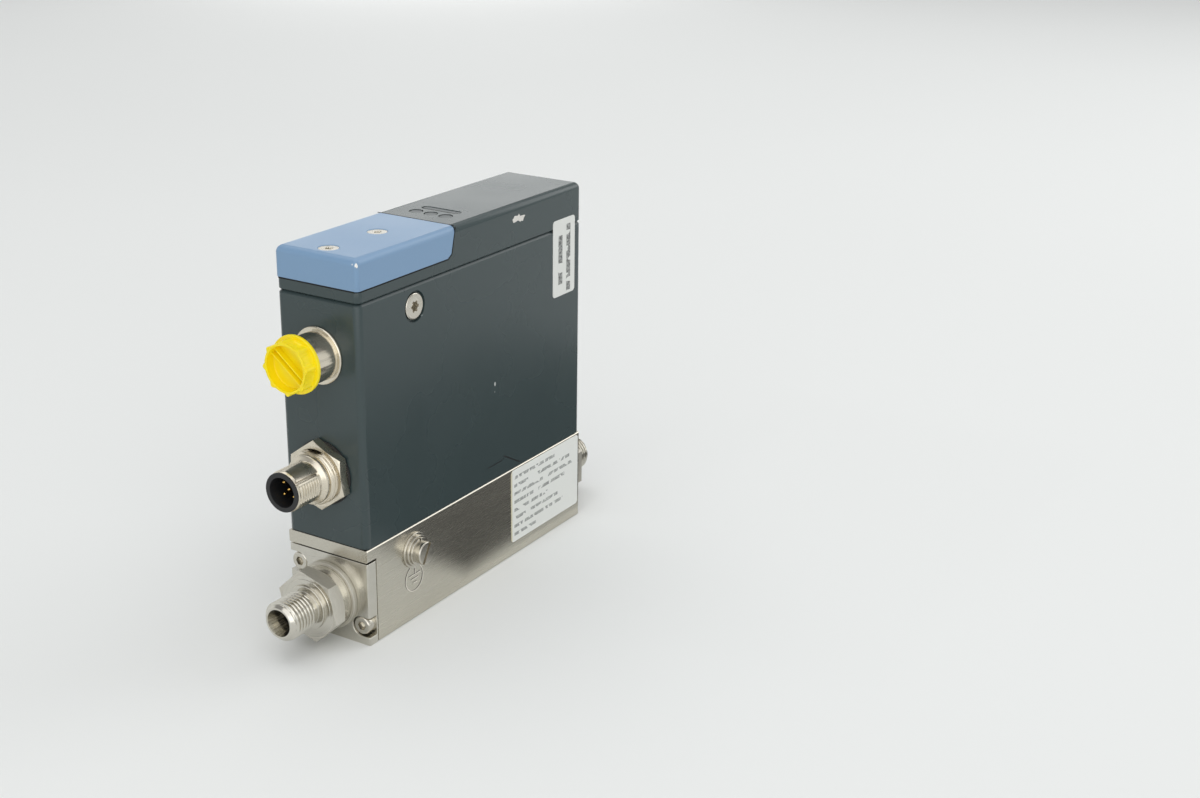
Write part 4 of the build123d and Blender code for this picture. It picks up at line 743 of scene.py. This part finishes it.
def window(angle: float, centre: float, half: float, soft: float) -> float:
    """Share from 0 to 1 of a sector round an axis.

    Args:
        angle: Direction in radians.
        centre: Middle of the sector in degrees.
        half: Half of its width in degrees.
        soft: Width of each soft end in degrees.

    Returns:
        1 inside the sector, 0 outside.
    """
    off = abs((angle - radians(centre) + pi) % FULL_TURN - pi)
    share = min(1.0, max(0.0, (radians(half + soft / 2) - off) / radians(soft)))
    return share * share * (3 - 2 * share)


@dataclass(frozen=True)
class Thread:
    """Right-hand screw thread with rounded crests and roots."""

    crest: float
    depth: float
    pitch: float
    steps: int = 12

    def radius(self, x: float, angle: float) -> float:
        """Radius of the thread's surface at a place along and round the axis."""
        rise = abs(2 * ((x / self.pitch - angle / FULL_TURN) % 1.0) - 1)
        share = min(1.0, max(0.0, (rise - 0.1) / 0.78))
        return self.crest - self.depth * (0.5 - 0.5 * cos(pi * share))

    def run(self, start: float, end: float) -> list[float]:
        """Distances from the face at which the thread is drawn, from start to end."""
        count = max(2, ceil(abs(end - start) / self.pitch * self.steps))
        return [start + (end - start) * step / count for step in range(count + 1)]


def stroke(
    name: str,
    line: Sequence[Point],
    width: float,
    face: float,
    closed: bool = False,
    proud: float = 0.02,
    on_top: bool = False,
) -> Piece:
    """Flat line of even width on the face that looks along -Y, or on the top face.

    Args:
        name: Piece name.
        line: Points (x, z) along the middle of the line, or (x, y) on the top face.
        width: Width of the line.
        face: Y of the side face or Z of the top face that carries it.
        closed: Whether the line joins its own start.
        proud: How far the line stands in front of the face.
        on_top: Whether the line lies on the top face.

    Returns:
        The new object, which reaches 0.1 mm into the face.
    """
    count = len(line)
    points: list[Corner] = []
    for number, (x, z) in enumerate(line):
        before = line[number - 1] if closed or number > 0 else line[number]
        after = line[(number + 1) % count] if closed or number < count - 1 else line[number]
        run_in = Vector((x - before[0], z - before[1]))
        run_out = Vector((after[0] - x, after[1] - z))
        run_in = run_in.normalized() if run_in.length > 0 else run_out.normalized()
        run_out = run_out.normalized() if run_out.length > 0 else run_in
        side = Vector((-(run_in.y + run_out.y), run_in.x + run_out.x)).normalized()
        reach = width / 2 / max(0.3, side.dot(Vector((-run_in.y, run_in.x))))
        for turn in (-1, 1):
            px, pz = x + turn * side.x * reach, z + turn * side.y * reach
            for out in (-0.1, proud):
                points.append((px, pz, face + out) if on_top else (px, face - out, pz))
    faces = []
    for number in range(count if closed else count - 1):
        a, b = 4 * number, 4 * ((number + 1) % count)
        faces += [(a + i, a + j, b + j, b + i) for i, j in ((1, 3), (0, 1), (3, 2), (2, 0))]
    if not closed:
        end = 4 * (count - 1)
        faces += [(0, 2, 3, 1), (end, end + 1, end + 3, end + 2)]
    return make_object(name, points, faces)


def flake(name: str, outline: Sequence[Point], face_y: float, thickness: float, seed: int) -> Piece:
    """Thin torn scrap that sticks to an upright face looking along -Y.

    Args:
        name: Piece name.
        outline: Corners (x, z) of the scrap.
        face_y: Y of the face.
        thickness: Largest thickness of the scrap.
        seed: Seed of its ragged edge.

    Returns:
        The new object.
    """
    dice = random.Random(seed)
    ragged: list[Point] = []
    for number, (x, z) in enumerate(outline):
        after_x, after_z = outline[(number + 1) % len(outline)]
        for share in (0.0, 0.25, 0.5, 0.75):
            along_x = x + (after_x - x) * share + dice.uniform(-0.17, 0.17)
            ragged.append((along_x, z + (after_z - z) * share + dice.uniform(-0.17, 0.17)))
    count = len(ragged)
    middle_x, middle_z = (sum(values) / count for values in zip(*ragged))
    points = [(x, face_y + 0.05, z) for x, z in ragged]
    points += [(x, face_y - thickness * 0.3, z) for x, z in ragged]
    for x, z in ragged:
        lift = thickness * dice.uniform(0.6, 1.0)
        points.append((middle_x + (x - middle_x) * 0.75, face_y - lift, middle_z + (z - middle_z) * 0.75))
    points.append((middle_x, face_y - thickness * 0.7, middle_z))
    faces = []
    for here in range(count):
        after = (here + 1) % count
        for ring in (0, count):
            faces.append((ring + here, ring + after, ring + count + after, ring + count + here))
        faces.append((2 * count + here, 2 * count + after, 3 * count))
    return make_object(name, points, faces, sharp=60)


def soften(node: Piece, width: float) -> None:
    """Rounds a CAD part's sharp edges by width millimetres, with modifiers only."""
    node.modifiers.new("weld", "WELD").merge_threshold = 0.001 * MM
    bevel = node.modifiers.new("soft_edges", "BEVEL")
    bevel.width = width * MM
    bevel.segments = 2
    bevel.limit_method = "ANGLE"
    bevel.angle_limit = radians(40)
    bevel.use_clamp_overlap = True
    bevel.harden_normals = True
    bevel.miter_outer = "MITER_ARC"


def dress(names: Iterable[str], finish: Finish, edge: float = 0.0) -> None:
    """Covers CAD parts with a finish and rounds their edges.

    Args:
        names: CAD nodes.
        finish: Finish that covers them.
        edge: Reach of the edge rounding in millimetres; 0 leaves the edges.
    """
    material = finish.material()
    for name in names:
        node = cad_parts[name]
        if not node.material_slots:
            node.data.materials.append(material)
        for material_slot in node.material_slots:
            material_slot.material = material
        if edge > 0:
            soften(node, edge)
        log.info("%-24s CAD mesh, %s", name, finish.title)


# ---- Sub-assemblies ----
@dataclass
class Assembly:
    """Parts that come off as one group; covers names CAD parts, their finish and edge rounding."""

    covers: ClassVar[tuple[tuple, ...]] = ()

    def build(self) -> None:
        """Makes the pieces that stand for CAD parts or lie on them."""

    def dress(self) -> None:
        """Covers the group's CAD parts."""
        for names, finish, *edge in self.covers:
            dress(names.split(), finish, *edge)


class Side(Enum):
    """End of the gas block that a fitting screws into."""

    INLET = -1
    OUTLET = 1


@dataclass
class GasBlock(Assembly):
    """Stainless base block with its inlet plate, screws, bore parts and engraved earth sign."""

    covers = (
        ("base_block", GROUND_BLOCK, 0.12),
        ("inlet_plate", GROUND_PLATE, 0.15),
        ("plate_screws base_screws", SCREW_STEEL, 0.1),
        ("fitting_washers", FITTING_STEEL, 0.15),
        ("inlet_filter flow_straightener", VALVE_STEEL),
        ("plate_oring", RUBBER),
    )
    sign_centre: Point = (-34.8, 13.2)
    sign_radius: float = 4.1
    sign_line: float = 0.34

    def build(self) -> None:
        """Engraves the earth sign as flat strokes: each pale line carries a painted highlight, and a dark
        line beside it paints the shadow of the groove's upper wall.
        """
        x, z = self.sign_centre
        turns = [FULL_TURN * step / 72 for step in range(72)]
        lines = {
            "ring": [(x + self.sign_radius * cos(t), z + self.sign_radius * sin(t)) for t in turns],
            "stem": [(x + 0.4, z + 3.7), (x + 0.4, z + 1.2)],
            "bar_upper": [(x - 2.5, z + 1.1), (x + 2.9, z + 1.1)],
            "bar_middle": [(x - 1.5, z - 0.2), (x + 2.1, z - 0.2)],
            "bar_lower": [(x - 0.6, z - 1.5), (x + 1.2, z - 1.5)],
        }
        for name, line in lines.items():
            # Painted shadow: a dark copy of each line, moved up and left, stands for the shade on the
            # groove's upper wall.
            wall = [(px - 0.28, pz + 0.2) for px, pz in line]
            for piece, middle, proud, finish in (
                (f"earth_sign_{name}_wall", wall, 0.015, ENGRAVING_SHADE),
                (f"earth_sign_{name}", line, 0.02, CUT_STEEL_HIGHLIGHT),
            ):
                made = stroke(piece, middle, self.sign_line, SIDE_Y, name == "ring", proud)
                finish_piece(made, finish, "stainless_steel")


@dataclass
class TubeFitting(Assembly):
    """Screw-in stub for a 6 mm tube with a 24 degree cone and a coupling thread."""

    side: Side
    face_x: float
    hex_turn: float = 16.5
    thread_length: float = 9.7
    axis_z: float = 13.0
    port_radius: float = 6.5
    port_length: float = 12.0
    port_chamfer: float = 0.8
    washer: float = 1.5
    collar_radius: float = 9.3
    collar_length: float = 3.1
    hex_flats: float = 19.0
    hex_length: float = 5.3
    step_radius: float = 8.3
    shoulder_radius: float = 6.8
    shoulder_length: float = 1.0
    neck_radius: float = 5.1
    neck_length: float = 1.5
    thread: Thread = Thread(crest=6.0, depth=0.75, pitch=1.25)
    thread_chamfer: float = 1.4
    mouth_radius: float = 4.07
    socket_radius: float = 3.05
    socket_length: float = 3.0
    bore_radius: float = 2.0

    def section(self, angle: float) -> list[Corner]:
        """Section of the stub at one angle, as distances out from the block's face."""
        hex_start = self.washer + self.collar_length
        hex_end = hex_start + self.hex_length
        neck_start = hex_end + self.shoulder_length
        thread_start = neck_start + self.neck_length
        reach = thread_start + self.thread_length
        cone_end = reach - (self.mouth_radius - self.socket_radius) / tan(radians(12))
        corner = hexagon_reach(angle, self.hex_flats, self.hex_turn)
        tip = self.thread.crest - self.thread_chamfer
        corners: list[Corner] = [
            (-self.port_length, self.bore_radius, 0.0),
            (-self.port_length, self.port_radius - self.port_chamfer, 0.1),
            (-self.port_length + self.port_chamfer, self.port_radius, 0.1),
            (self.washer - 0.1, self.port_radius, 0.0),
            (self.washer - 0.1, self.collar_radius - 0.5, 0.0),
            (self.washer, self.collar_radius, 0.2),
            (hex_start, self.collar_radius, 0.0),
            (hex_start + (corner - self.hex_flats / 2 + 0.2) * 0.88, corner, 0.1),
            (hex_end - 0.12, corner, 0.12),
            (hex_end - 0.12, self.step_radius + 0.1, 0.0),
            (hex_end, self.step_radius, 0.05),
            (hex_end, self.shoulder_radius, 0.05),
            (neck_start, self.shoulder_radius, 0.18),
            (neck_start, self.neck_radius, 0.2),
        ]
        for distance in self.thread.run(thread_start, reach - 0.05):
            lead_in = self.neck_radius + (distance - thread_start) * 1.2
            cut = self.thread.radius(self.face_x + self.side.value * distance, angle)
            radius = min(max(cut, self.neck_radius - 0.02), lead_in, tip + reach - distance)
            corners.append((distance, radius, 0.0))
        corners += [
            (reach, tip, 0.06),
            (reach, self.mouth_radius, 0.05),
            (cone_end, self.socket_radius, 0.1),
            (cone_end - self.socket_length, self.socket_radius, 0.0),
            (cone_end - self.socket_length, self.bore_radius, 0.1),
        ]
        return [(self.face_x + self.side.value * d, radius, soft) for d, radius, soft in corners]

    def build(self) -> None:
        """Turns the stub and puts it in place of its CAD part."""
        node = f"{self.side.name.lower()}_fitting"
        piece = lathe(f"{node}_turned", self.section, self.axis_z, start=self.hex_turn)
        finish_piece(piece, FITTING_STEEL, "stainless_steel", node)


@dataclass
class EarthPoint(Assembly):
    """Earth screw with its washers on the block's side."""

    covers = (
        ("earth_washer earth_clamp_washer earth_lock_washer", SCREW_STEEL, 0.12),
        ("earth_screw", SCREW_STEEL, 0.3),
    )


@dataclass
class FlowSensor(Assembly):
    """Thermal sensor that stands on the block."""

    covers = (
        ("sensor_probe", VALVE_STEEL),
        ("sensor_oring", RUBBER),
        ("sensor_screws", SCREW_STEEL),
        ("sensor_board", BOARD),
    )


@dataclass
class SolenoidValve(Assembly):
    """Proportional valve: seat, plunger, guide tube, coil and yoke."""

    covers = (
        ("valve_seat valve_plunger valve_guide_tube valve_stop_core", VALVE_STEEL),
        ("valve_spring", SPRING_STEEL),
        ("valve_yoke valve_nut", ZINC_PLATE),
        ("valve_coil", BLACK_NYLON),
        ("plunger_seal valve_oring", RUBBER),
        ("coil_terminals", TINNED),
    )


@dataclass
class Electronics(Assembly):
    """Boards, their bracket and the parts on them."""

    covers = (
        ("main_board connector_board", BOARD),
        ("board_chips", BLACK_EPOXY),
        ("board_header sensor_header", BLACK_NYLON),
        ("board_capacitors", CAN),
        ("board_bracket bracket_screws board_standoffs board_screws", ZINC_PLATE),
    )


@dataclass
class Housing(Assembly):
    """Painted housing with its stepped cover, side screws, flow arrow and a scrap of a sticker."""

    covers = (
        ("housing top_cover", PAINT, 0.06),
        ("housing_gasket", RUBBER),
        ("side_screws", SCREW_STEEL, 0.1),
    )
    arrow_line: float = 0.3
    arrow_shaft: tuple[Point, ...] = ((3.2, 34.98), (11.1, 35.08), (11.5, 35.7))
    arrow_head: tuple[Point, ...] = ((11.73, 36.32), (20.9, 31.1))
    scrap: tuple[Point, ...] = (
        (17.3, 111.1), (18.7, 111.9), (19.5, 111.5), (20.6, 112.1), (21.3, 111.4),
        (24.0, 111.1), (22.8, 109.6), (21.2, 109.5), (20.4, 110.0), (17.6, 109.7),
    )  # fmt: skip

    def build(self) -> None:
        """Draws the engraved arrow as flat near-black strokes of painted shade in its grooves, and leaves
        the torn scrap of a sticker.
        """
        shaft = stroke("flow_arrow_shaft", self.arrow_shaft, self.arrow_line, SIDE_Y)
        head = stroke("flow_arrow_head", self.arrow_head, self.arrow_line * 1.5, SIDE_Y)
        for arrow in (shaft, head):
            finish_piece(arrow, GROOVE_SHADE, "housing_paint")
        scrap = flake("sticker_scrap", self.scrap, SIDE_Y, thickness=0.12, seed=7)
        finish_piece(scrap, TORN_PAPER, "label_film")


@dataclass
class ServiceCap(Assembly):
    """Light blue cap over the front of the cover, held by two sunk screws."""

    covers = (("service_cap", BLUE_PAINT, 0.08), ("cap_screws", SCREW_STEEL, 0.05))
    joint_lift: float = 0.02
    joint_width: float = 0.42
    joint_half_span: float = 13.8
    foot_half_span: float = 13.4
    top_x: float = -11.55
    top_z: float = 115.21
    joint: tuple[Point, ...] = (
        (-54.6, 106.08), (-15.3, 106.08), (-13.52, 107.3), (-12.12, 113.1), (-11.68, 114.9),
    )  # fmt: skip

    def build(self) -> None:
        """Lays painted shade into the open joint round the cap: near-black strips that stand for the shadow
        inside the gap.
        """
        side = stroke("cap_joint_shade_side", self.joint, self.joint_width, SIDE_Y - self.joint_lift, proud=0.0)
        across = [(self.top_x, end * self.joint_half_span) for end in (-1, 1)]
        top = stroke("cap_joint_shade_top", across, self.joint_width, self.top_z, proud=0.0, on_top=True)
        foot_x, middle = FRONT_X - self.joint_lift, self.joint[0][1]
        heights = (middle - self.joint_width / 2, middle + self.joint_width / 2)
        corners = [(foot_x, end * self.foot_half_span, z) for end in (-1, 1) for z in heights]
        foot = make_object("cap_joint_shade_front", corners, [(0, 1, 3, 2)])
        for piece in (side, top, foot):
            finish_piece(piece, JOINT_SHADE, "seal_rubber")


@dataclass
class StatusWindows(Assembly):
    """Three round windows and one long one over the status lamps."""

    covers = (("status_lenses power_lens", SMOKED_ACRYLIC, 0.06),)
    face_z: float = 115.14
    rim: float = 0.22
    dots: tuple[Point, ...] = ((-4.1, -5.4), (-4.1, 0.0), (-4.1, 5.4))
    dot_radius: float = 2.1
    bar_ends: tuple[Point, Point] = ((1.45, -5.4), (1.45, 5.4))
    bar_radius: float = 1.55

    def build(self) -> None:
        """Draws a ring of painted shade round each window, where its sunk edge falls dark."""
        for number, dot in enumerate(self.dots, 1):
            self.outline(f"window_joint_{number}", (dot, dot), self.dot_radius)
        self.outline("window_joint_bar", self.bar_ends, self.bar_radius)

    def outline(self, name: str, ends: tuple[Point, Point], radius: float) -> None:
        """Draws one closed line of painted shade round a slot.

        Args:
            name: Piece name.
            ends: Centres (x, y) of the slot's two round ends, or twice the same point.
            radius: Radius of the slot's ends.
        """
        reach = radius - self.rim / 2
        line = []
        for step in range(48):
            angle = FULL_TURN * (step + 0.5) / 48
            x, y = ends[1] if sin(angle) > 0 else ends[0]
            line.append((x + reach * cos(angle), y + reach * sin(angle)))
        ring = stroke(name, line, self.rim, self.face_z, closed=True, proud=0.0, on_top=True)
        finish_piece(ring, JOINT_SHADE, "window_plastic")


@dataclass
class Plug(Assembly):
    """Five-pole plug: nickel-plated shell with panel thread and part-round coupling thread."""

    covers = (
        ("plug_nut", SOFT_NICKEL, 0.15),
        ("plug_gasket", RUBBER, 0.1),
        ("plug_insert", BLACK_NYLON, 0.1),
        ("plug_pins", GOLD),
    )
    axis_z: float = 51.2
    bore_radius: float = 5.55
    back: float = 9.0
    wall: float = 2.0
    flange_radius: float = 9.4
    flange_thickness: float = 1.5
    panel_thread: Thread = Thread(crest=8.0, depth=0.5, pitch=1.0)
    panel_reach: float = 6.0
    panel_flat: float = 7.3
    panel_flats_at: Point = (90.0, 270.0)
    collar_radius: float = 7.3
    collar_length: float = 1.2
    cone_length: float = 0.8
    coupling: Thread = Thread(crest=6.0, depth=0.5, pitch=1.0)
    reach: float = 17.4
    sectors: Corner = (60.0, 180.0, 300.0)
    sector_half: float = 24.0
    key_at: float = 144.0
    key_width: float = 0.9
    key_depth: float = 0.45

    def section(self, angle: float) -> list[Corner]:
        """Section of the shell at one angle, as distances out from the panel."""
        panel, crest = self.panel_thread.crest, self.coupling.crest
        flange = -self.wall - self.flange_thickness
        cone_start = self.panel_reach + self.collar_length
        cone_end = cone_start + self.cone_length
        corners: list[Corner] = [
            (-self.back, self.bore_radius, 0.0),
            (-self.back, panel - 1, 0.1),
            (flange, panel - 1, 0.0),
            (flange, self.flange_radius, 0.1),
            (-self.wall, self.flange_radius, 0.1),
            (-self.wall, panel - 0.5, 0.0),
        ]
        for distance in self.panel_thread.run(-self.wall + 0.05, self.panel_reach - 0.05):
            radius = self.panel_thread.radius(FRONT_X - distance, angle)
            radius = min(radius, panel - 0.5 + (self.panel_reach - distance))
            for flat_at in self.panel_flats_at:
                across = cos(angle - radians(flat_at))
                if across > 0.5:
                    radius = min(radius, self.panel_flat / across)
            corners.append((distance, radius, 0.0))
        corners += [
            (self.panel_reach, self.collar_radius - 0.3, 0.05),
            (self.panel_reach + 0.15, self.collar_radius, 0.2),
            (cone_start, self.collar_radius, 0.4),
            (cone_end, crest, 0.3),
        ]
        cover = max(window(angle, centre, self.sector_half, 5.0) for centre in self.sectors)
        key_off = (angle - radians(self.key_at) + pi) % FULL_TURN - pi
        in_key = abs(key_off) * crest < self.key_width / 2
        thread_start = cone_end + 0.6
        for distance in self.coupling.run(thread_start, self.reach - 0.7):
            cut = crest - self.coupling.radius(FRONT_X - distance, angle)
            radius = crest - cut * cover * min(1.0, (distance - thread_start) / 0.8)
            corners.append((distance, min(radius, crest - self.key_depth) if in_key else radius, 0.0))
        corners += [
            (self.reach - 0.4, crest - (self.key_depth if in_key else 0.12), 0.1),
            (self.reach, crest - (self.key_depth if in_key else 0.28), 0.06),
            (self.reach, self.bore_radius, 0.0),
        ]
        return [(FRONT_X - distance, radius, soft) for distance, radius, soft in corners]

    def build(self) -> None:
        """Turns the shell and puts it in place of its CAD part."""
        piece = lathe("plug_shell_threaded", self.section, self.axis_z, columns=240)
        finish_piece(piece, SOFT_NICKEL, "nickel_plate", "plug_shell")


@dataclass
class Socket(Assembly):
    """Five-pole socket closed by a screwed-in yellow dust cap."""

    covers = (
        ("socket_shell", SPUN_NICKEL, 0.12),
        ("socket_nut", NICKEL),
        ("socket_insert", BLACK_NYLON),
        ("socket_contacts", GOLD),
    )
    axis_z: float = 86.0
    barrel_reach: float = 9.0
    flange_radius: float = 8.4
    flange_thickness: float = 1.1
    grip_radius: float = 7.2
    cap_reach: float = 14.2
    panel_depth: float = 0.22
    rib_count: int = 8
    rib_height: float = 0.75
    rib_half_width: float = 9.5
    rib_turn: float = -5.0
    recess_radius: float = 6.45
    recess_depth: float = 3.0
    ridge_spacing: float = 1.9
    ridge_width: float = 0.55
    ridge_height: float = 1.7
    ridge_turn: float = 38.6
    sleeve_outer: float = 5.7
    sleeve_inner: float = 4.4
    sleeve_depth: float = 6.0

    def grip(self, angle: float, share: float) -> float:
        """Radius of the cap's grip at one angle; share runs from 0 at the flange to 1 at the rim."""
        step = FULL_TURN / self.rib_count
        off = abs((angle - radians(self.rib_turn) + step / 2) % step - step / 2)
        peak = (0.5 + 0.5 * cos(pi * min(1.0, off / radians(self.rib_half_width)))) ** 0.7
        between = min(1.0, max(0.0, (off - radians(11)) / radians(3)))
        inset = min(1.0, max(0.0, (share - 0.08) / 0.1), max(0.0, (0.86 - share) / 0.08))
        radius = self.grip_radius - 0.12 * share - self.panel_depth * between * inset
        return radius + self.rib_height * peak * (0.8 + 0.2 * share)

    def section(self, angle: float) -> list[Corner]:
        """Section of the dust cap at one angle, as distances out from the panel."""
        grip_start = self.barrel_reach + self.flange_thickness
        floor = self.cap_reach - self.recess_depth
        sleeve_end = self.barrel_reach - self.sleeve_depth
        corners: list[Corner] = [
            (self.barrel_reach, 0.0, 0.0),
            (self.barrel_reach, self.sleeve_inner, 0.0),
            (sleeve_end, self.sleeve_inner, 0.1),
            (sleeve_end, self.sleeve_outer, 0.1),
            (self.barrel_reach, self.sleeve_outer, 0.0),
            (self.barrel_reach, self.flange_radius, 0.3),
            (grip_start, self.flange_radius, 0.35),
            (grip_start, self.grip(angle, 0.0), 0.12),
        ]
        for share in (step / 16 for step in range(1, 16)):
            distance = grip_start + (self.cap_reach - grip_start) * share
            corners.append((distance, self.grip(angle, share), 0.0))
        corners += [
            (self.cap_reach, self.grip(angle, 1.0), 0.2),
            (self.cap_reach, self.recess_radius, 0.2),
            (floor, self.recess_radius - 0.15, 0.35),
            (floor, 0.0, 0.0),
        ]
        return [(FRONT_X - distance, radius, soft) for distance, radius, soft in corners]

    def ridge(self, number: int, offset: float) -> Piece:
        """Makes one finger ridge across the recess, offset millimetres from the cap's axis."""
        half_length = (self.recess_radius**2 - offset**2) ** 0.5 - 0.02
        turn = radians(self.ridge_turn)
        floor = self.cap_reach - self.recess_depth
        rise = [(0.62, -0.1), (0.5, self.ridge_height - 0.25), (0.3, self.ridge_height)]
        profile = [(-share * self.ridge_width, floor + up) for share, up in rise]
        profile += [(share * self.ridge_width, floor + up) for share, up in reversed(rise)]
        points = []
        for u in (-half_length, half_length):
            for across, distance in profile:
                v = offset + across
                y, z = u * cos(turn) - v * sin(turn), u * sin(turn) + v * cos(turn)
                points.append((FRONT_X - distance, y, self.axis_z + z))
        count = len(profile)
        faces = [(k, (k + 1) % count, count + (k + 1) % count, count + k) for k in range(count)]
        faces += [tuple(reversed(range(count))), tuple(range(count, 2 * count))]
        return make_object(f"dust_cap_ridge_{number}", points, faces, sharp=60)

    def build(self) -> None:
        """Moulds the dust cap and its ridges and puts them in place of the CAD part."""
        cap = lathe("dust_cap_moulded", self.section, self.axis_z, closed=False, columns=288)
        finish_piece(cap, YELLOW, "yellow_plastic", "dust_cap")
        for number, side in enumerate((-1, 1)):
            finish_piece(self.ridge(number, side * self.ridge_spacing / 2), YELLOW, "yellow_plastic")


@dataclass
class Labels(Assembly):
    """Type label on the block's side and seal label over the cover's joint.

    A row of bars is its distance from the label's first edge and where it starts and ends.
    """

    type_rows: tuple[Corner, ...] = (
        (2.2, 1.6, 25.0), (5.0, 1.6, 9.5), (5.0, 15.0, 34.0), (7.8, 1.6, 18.0),
        (7.8, 20.5, 36.5), (10.6, 1.6, 12.5), (10.6, 15.5, 31.0), (13.4, 1.6, 22.0),
        (16.2, 1.6, 8.0), (16.2, 11.0, 27.0), (19.0, 1.6, 30.0), (21.8, 1.6, 14.0),
    )  # fmt: skip
    seal_rows: tuple[Corner, ...] = ((2.6, 0.9, 22.8), (7.2, 3.8, 19.8))

    def film(self, node: str, **look: object) -> None:
        """Covers one label with film that has the label's own corners."""
        low, high = ((corner.x / MM, corner.z / MM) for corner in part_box(node))
        dress([node], LabelFilm(f"{node}_film", low=low, high=high, **look))

    def dress(self) -> None:
        """Covers both labels with film and blank bars."""
        self.film("type_label", rows=self.type_rows)
        old_film = {"light": "#E4E6E2", "dark": "#4A4D4C", "warm_edge": "#E4E6E2"}
        self.film("seal_label", rows=self.seal_rows, rows_run_up=True, bar=2.3, gap=0.43, **old_film)


@dataclass
class Studio:
    """Pale floor, soft light from above and all round, and the camera."""

    camera_place: Corner = (-395.4208, -297.0219, 238.1077)
    camera_right: Corner = (0.52381746, -0.85172441, 0.0134462)
    camera_down: Corner = (-0.28810739, -0.19199904, -0.9381527)
    camera_forward: Corner = (0.80162922, 0.48754681, -0.34596055)
    lens: float = 51.2086
    sensor: float = 36.0
    floor_reach: float = 6000.0
    fill: float = 0.37
    backdrop: str = "#EBEDEC"
    dark_room: float = 0.32
    room_rise: Point = (0.34, 0.55)
    lamps: tuple[tuple[str, Corner, float, float], ...] = (
        ("overhead", (350.0, 300.0, 2200.0), 2800.0, 25.0),
        ("front_bank", (-1350.0, -850.0, 1000.0), 2600.0, 21.0),
        ("rim_box", (1190.0, -630.0, 860.0), 900.0, 4.0),
        ("back_box", (1272.0, 958.0, 269.0), 480.0, 0.75),
    )
    flag_low: Point = (-8.0, -150.0)
    flag_high: Point = (210.0, -16.0)

    def build(self) -> None:
        """Lays the floor, hangs the lamps, sets the world and places the camera."""
        reach = self.floor_reach
        floor = self.sheet("studio_floor", (-reach, -reach), (reach, reach), 0, StudioBoard("studio_board"))
        self.lay_flag()
        self.hang_lamps()
        self.set_world()
        self.place_camera()
        bpy.context.scene.view_settings.view_transform = "Standard"

    def sheet(self, name: str, low: Point, high: Point, z: float, finish: Finish) -> Piece:
        """Makes a flat rectangle between two corners (x, y) at one height."""
        corners = [(low[0], low[1], z), (high[0], low[1], z), (high[0], high[1], z), (low[0], high[1], z)]
        made = make_object(name, corners, [(0, 1, 2, 3)])
        made.data.materials.append(finish.material())
        return made

    def lay_flag(self) -> None:
        """Lays a dark cloth on the floor that only bright metal and gloss pick up."""
        cloth = FlagCloth("black_flannel", low=self.flag_low, high=self.flag_high)
        flag = self.sheet("dark_flag", self.flag_low, self.flag_high, 1, cloth)
        for ray in ("camera", "diffuse", "transmission", "volume_scatter", "shadow"):
            setattr(flag, f"visible_{ray}", False)

    def hang_lamps(self) -> None:
        """Hangs the soft lamps and points them at the object."""
        target = Vector((0.0, 0.0, 0.05))
        for name, place_mm, size, power in self.lamps:
            lamp = bpy.data.lights.new(name, "AREA")
            lamp.shape = "SQUARE"
            lamp.size = size * MM
            lamp.energy = power
            holder = bpy.data.objects.new(name, lamp)
            holder.location = Vector(place_mm) * MM
            holder.rotation_euler = (target - holder.location).to_track_quat("-Z", "Y").to_euler()
            bpy.context.scene.collection.objects.link(holder)

    def set_world(self) -> None:
        """Fills the studio with even light and shows a pale backdrop below a darker room."""
        world = bpy.data.worlds.new("studio")
        world.use_nodes = True
        tree = world.node_tree
        tree.nodes.clear()
        rays = add_node(tree, "LightPath").outputs
        seen = maths(tree, "MAXIMUM", rays["Is Camera Ray"], rays["Is Glossy Ray"])
        seen = maths(tree, "MAXIMUM", seen, rays["Is Transmission Ray"])
        light = add_node(tree, "Background", {"Color": (1, 1, 1, 1), "Strength": self.fill})
        rise = split(tree, add_node(tree, "TexCoord").outputs["Generated"])[2]
        above = ranged(tree, rise, *self.room_rise, shape="SMOOTHSTEP")
        sweep = blend(tree, above, self.backdrop, (*(self.dark_room,) * 3, 1.0))
        shown = add_node(tree, "Background", {"Strength": 1.0, "Color": sweep})
        layers = {0: seen, 1: light.outputs[0], 2: shown.outputs[0]}
        mixed = add_node(tree, "MixShader", layers).outputs[0]
        add_node(tree, "OutputWorld", {"Surface": mixed})
        bpy.context.scene.world = world

    def place_camera(self) -> None:
        """Places the camera from its position and directions."""
        axes = (self.camera_right, self.camera_down, self.camera_forward)
        right, down, forward = (Vector(axis) for axis in axes)
        camera = bpy.data.cameras.new("camera")
        camera.lens = self.lens
        camera.sensor_width = self.sensor
        camera.clip_start = 0.01
        camera.clip_end = 50.0
        holder = bpy.data.objects.new("camera", camera)
        turn = Matrix((right, -down, -forward)).transposed().to_4x4()
        holder.matrix_world = Matrix.Translation(Vector(self.camera_place) * MM) @ turn
        bpy.context.scene.collection.objects.link(holder)
        bpy.context.scene.camera = holder


def main() -> None:
    """Builds and dresses every sub-assembly, then the studio."""
    logging.basicConfig(level=logging.INFO, format="%(message)s")
    inlet = TubeFitting(Side.INLET, FRONT_X)
    outlet = TubeFitting(Side.OUTLET, REAR_X, hex_turn=30.0, thread_length=8.4)
    outside = [GasBlock(), inlet, outlet, Housing(), ServiceCap(), StatusWindows(), Plug(), Socket()]
    inside = [EarthPoint(), FlowSensor(), SolenoidValve(), Electronics(), Labels()]
    for assembly in outside:
        assembly.build()
    for assembly in outside + inside:
        assembly.dress()
    Studio().build()


if __name__ == "__main__":
    main()
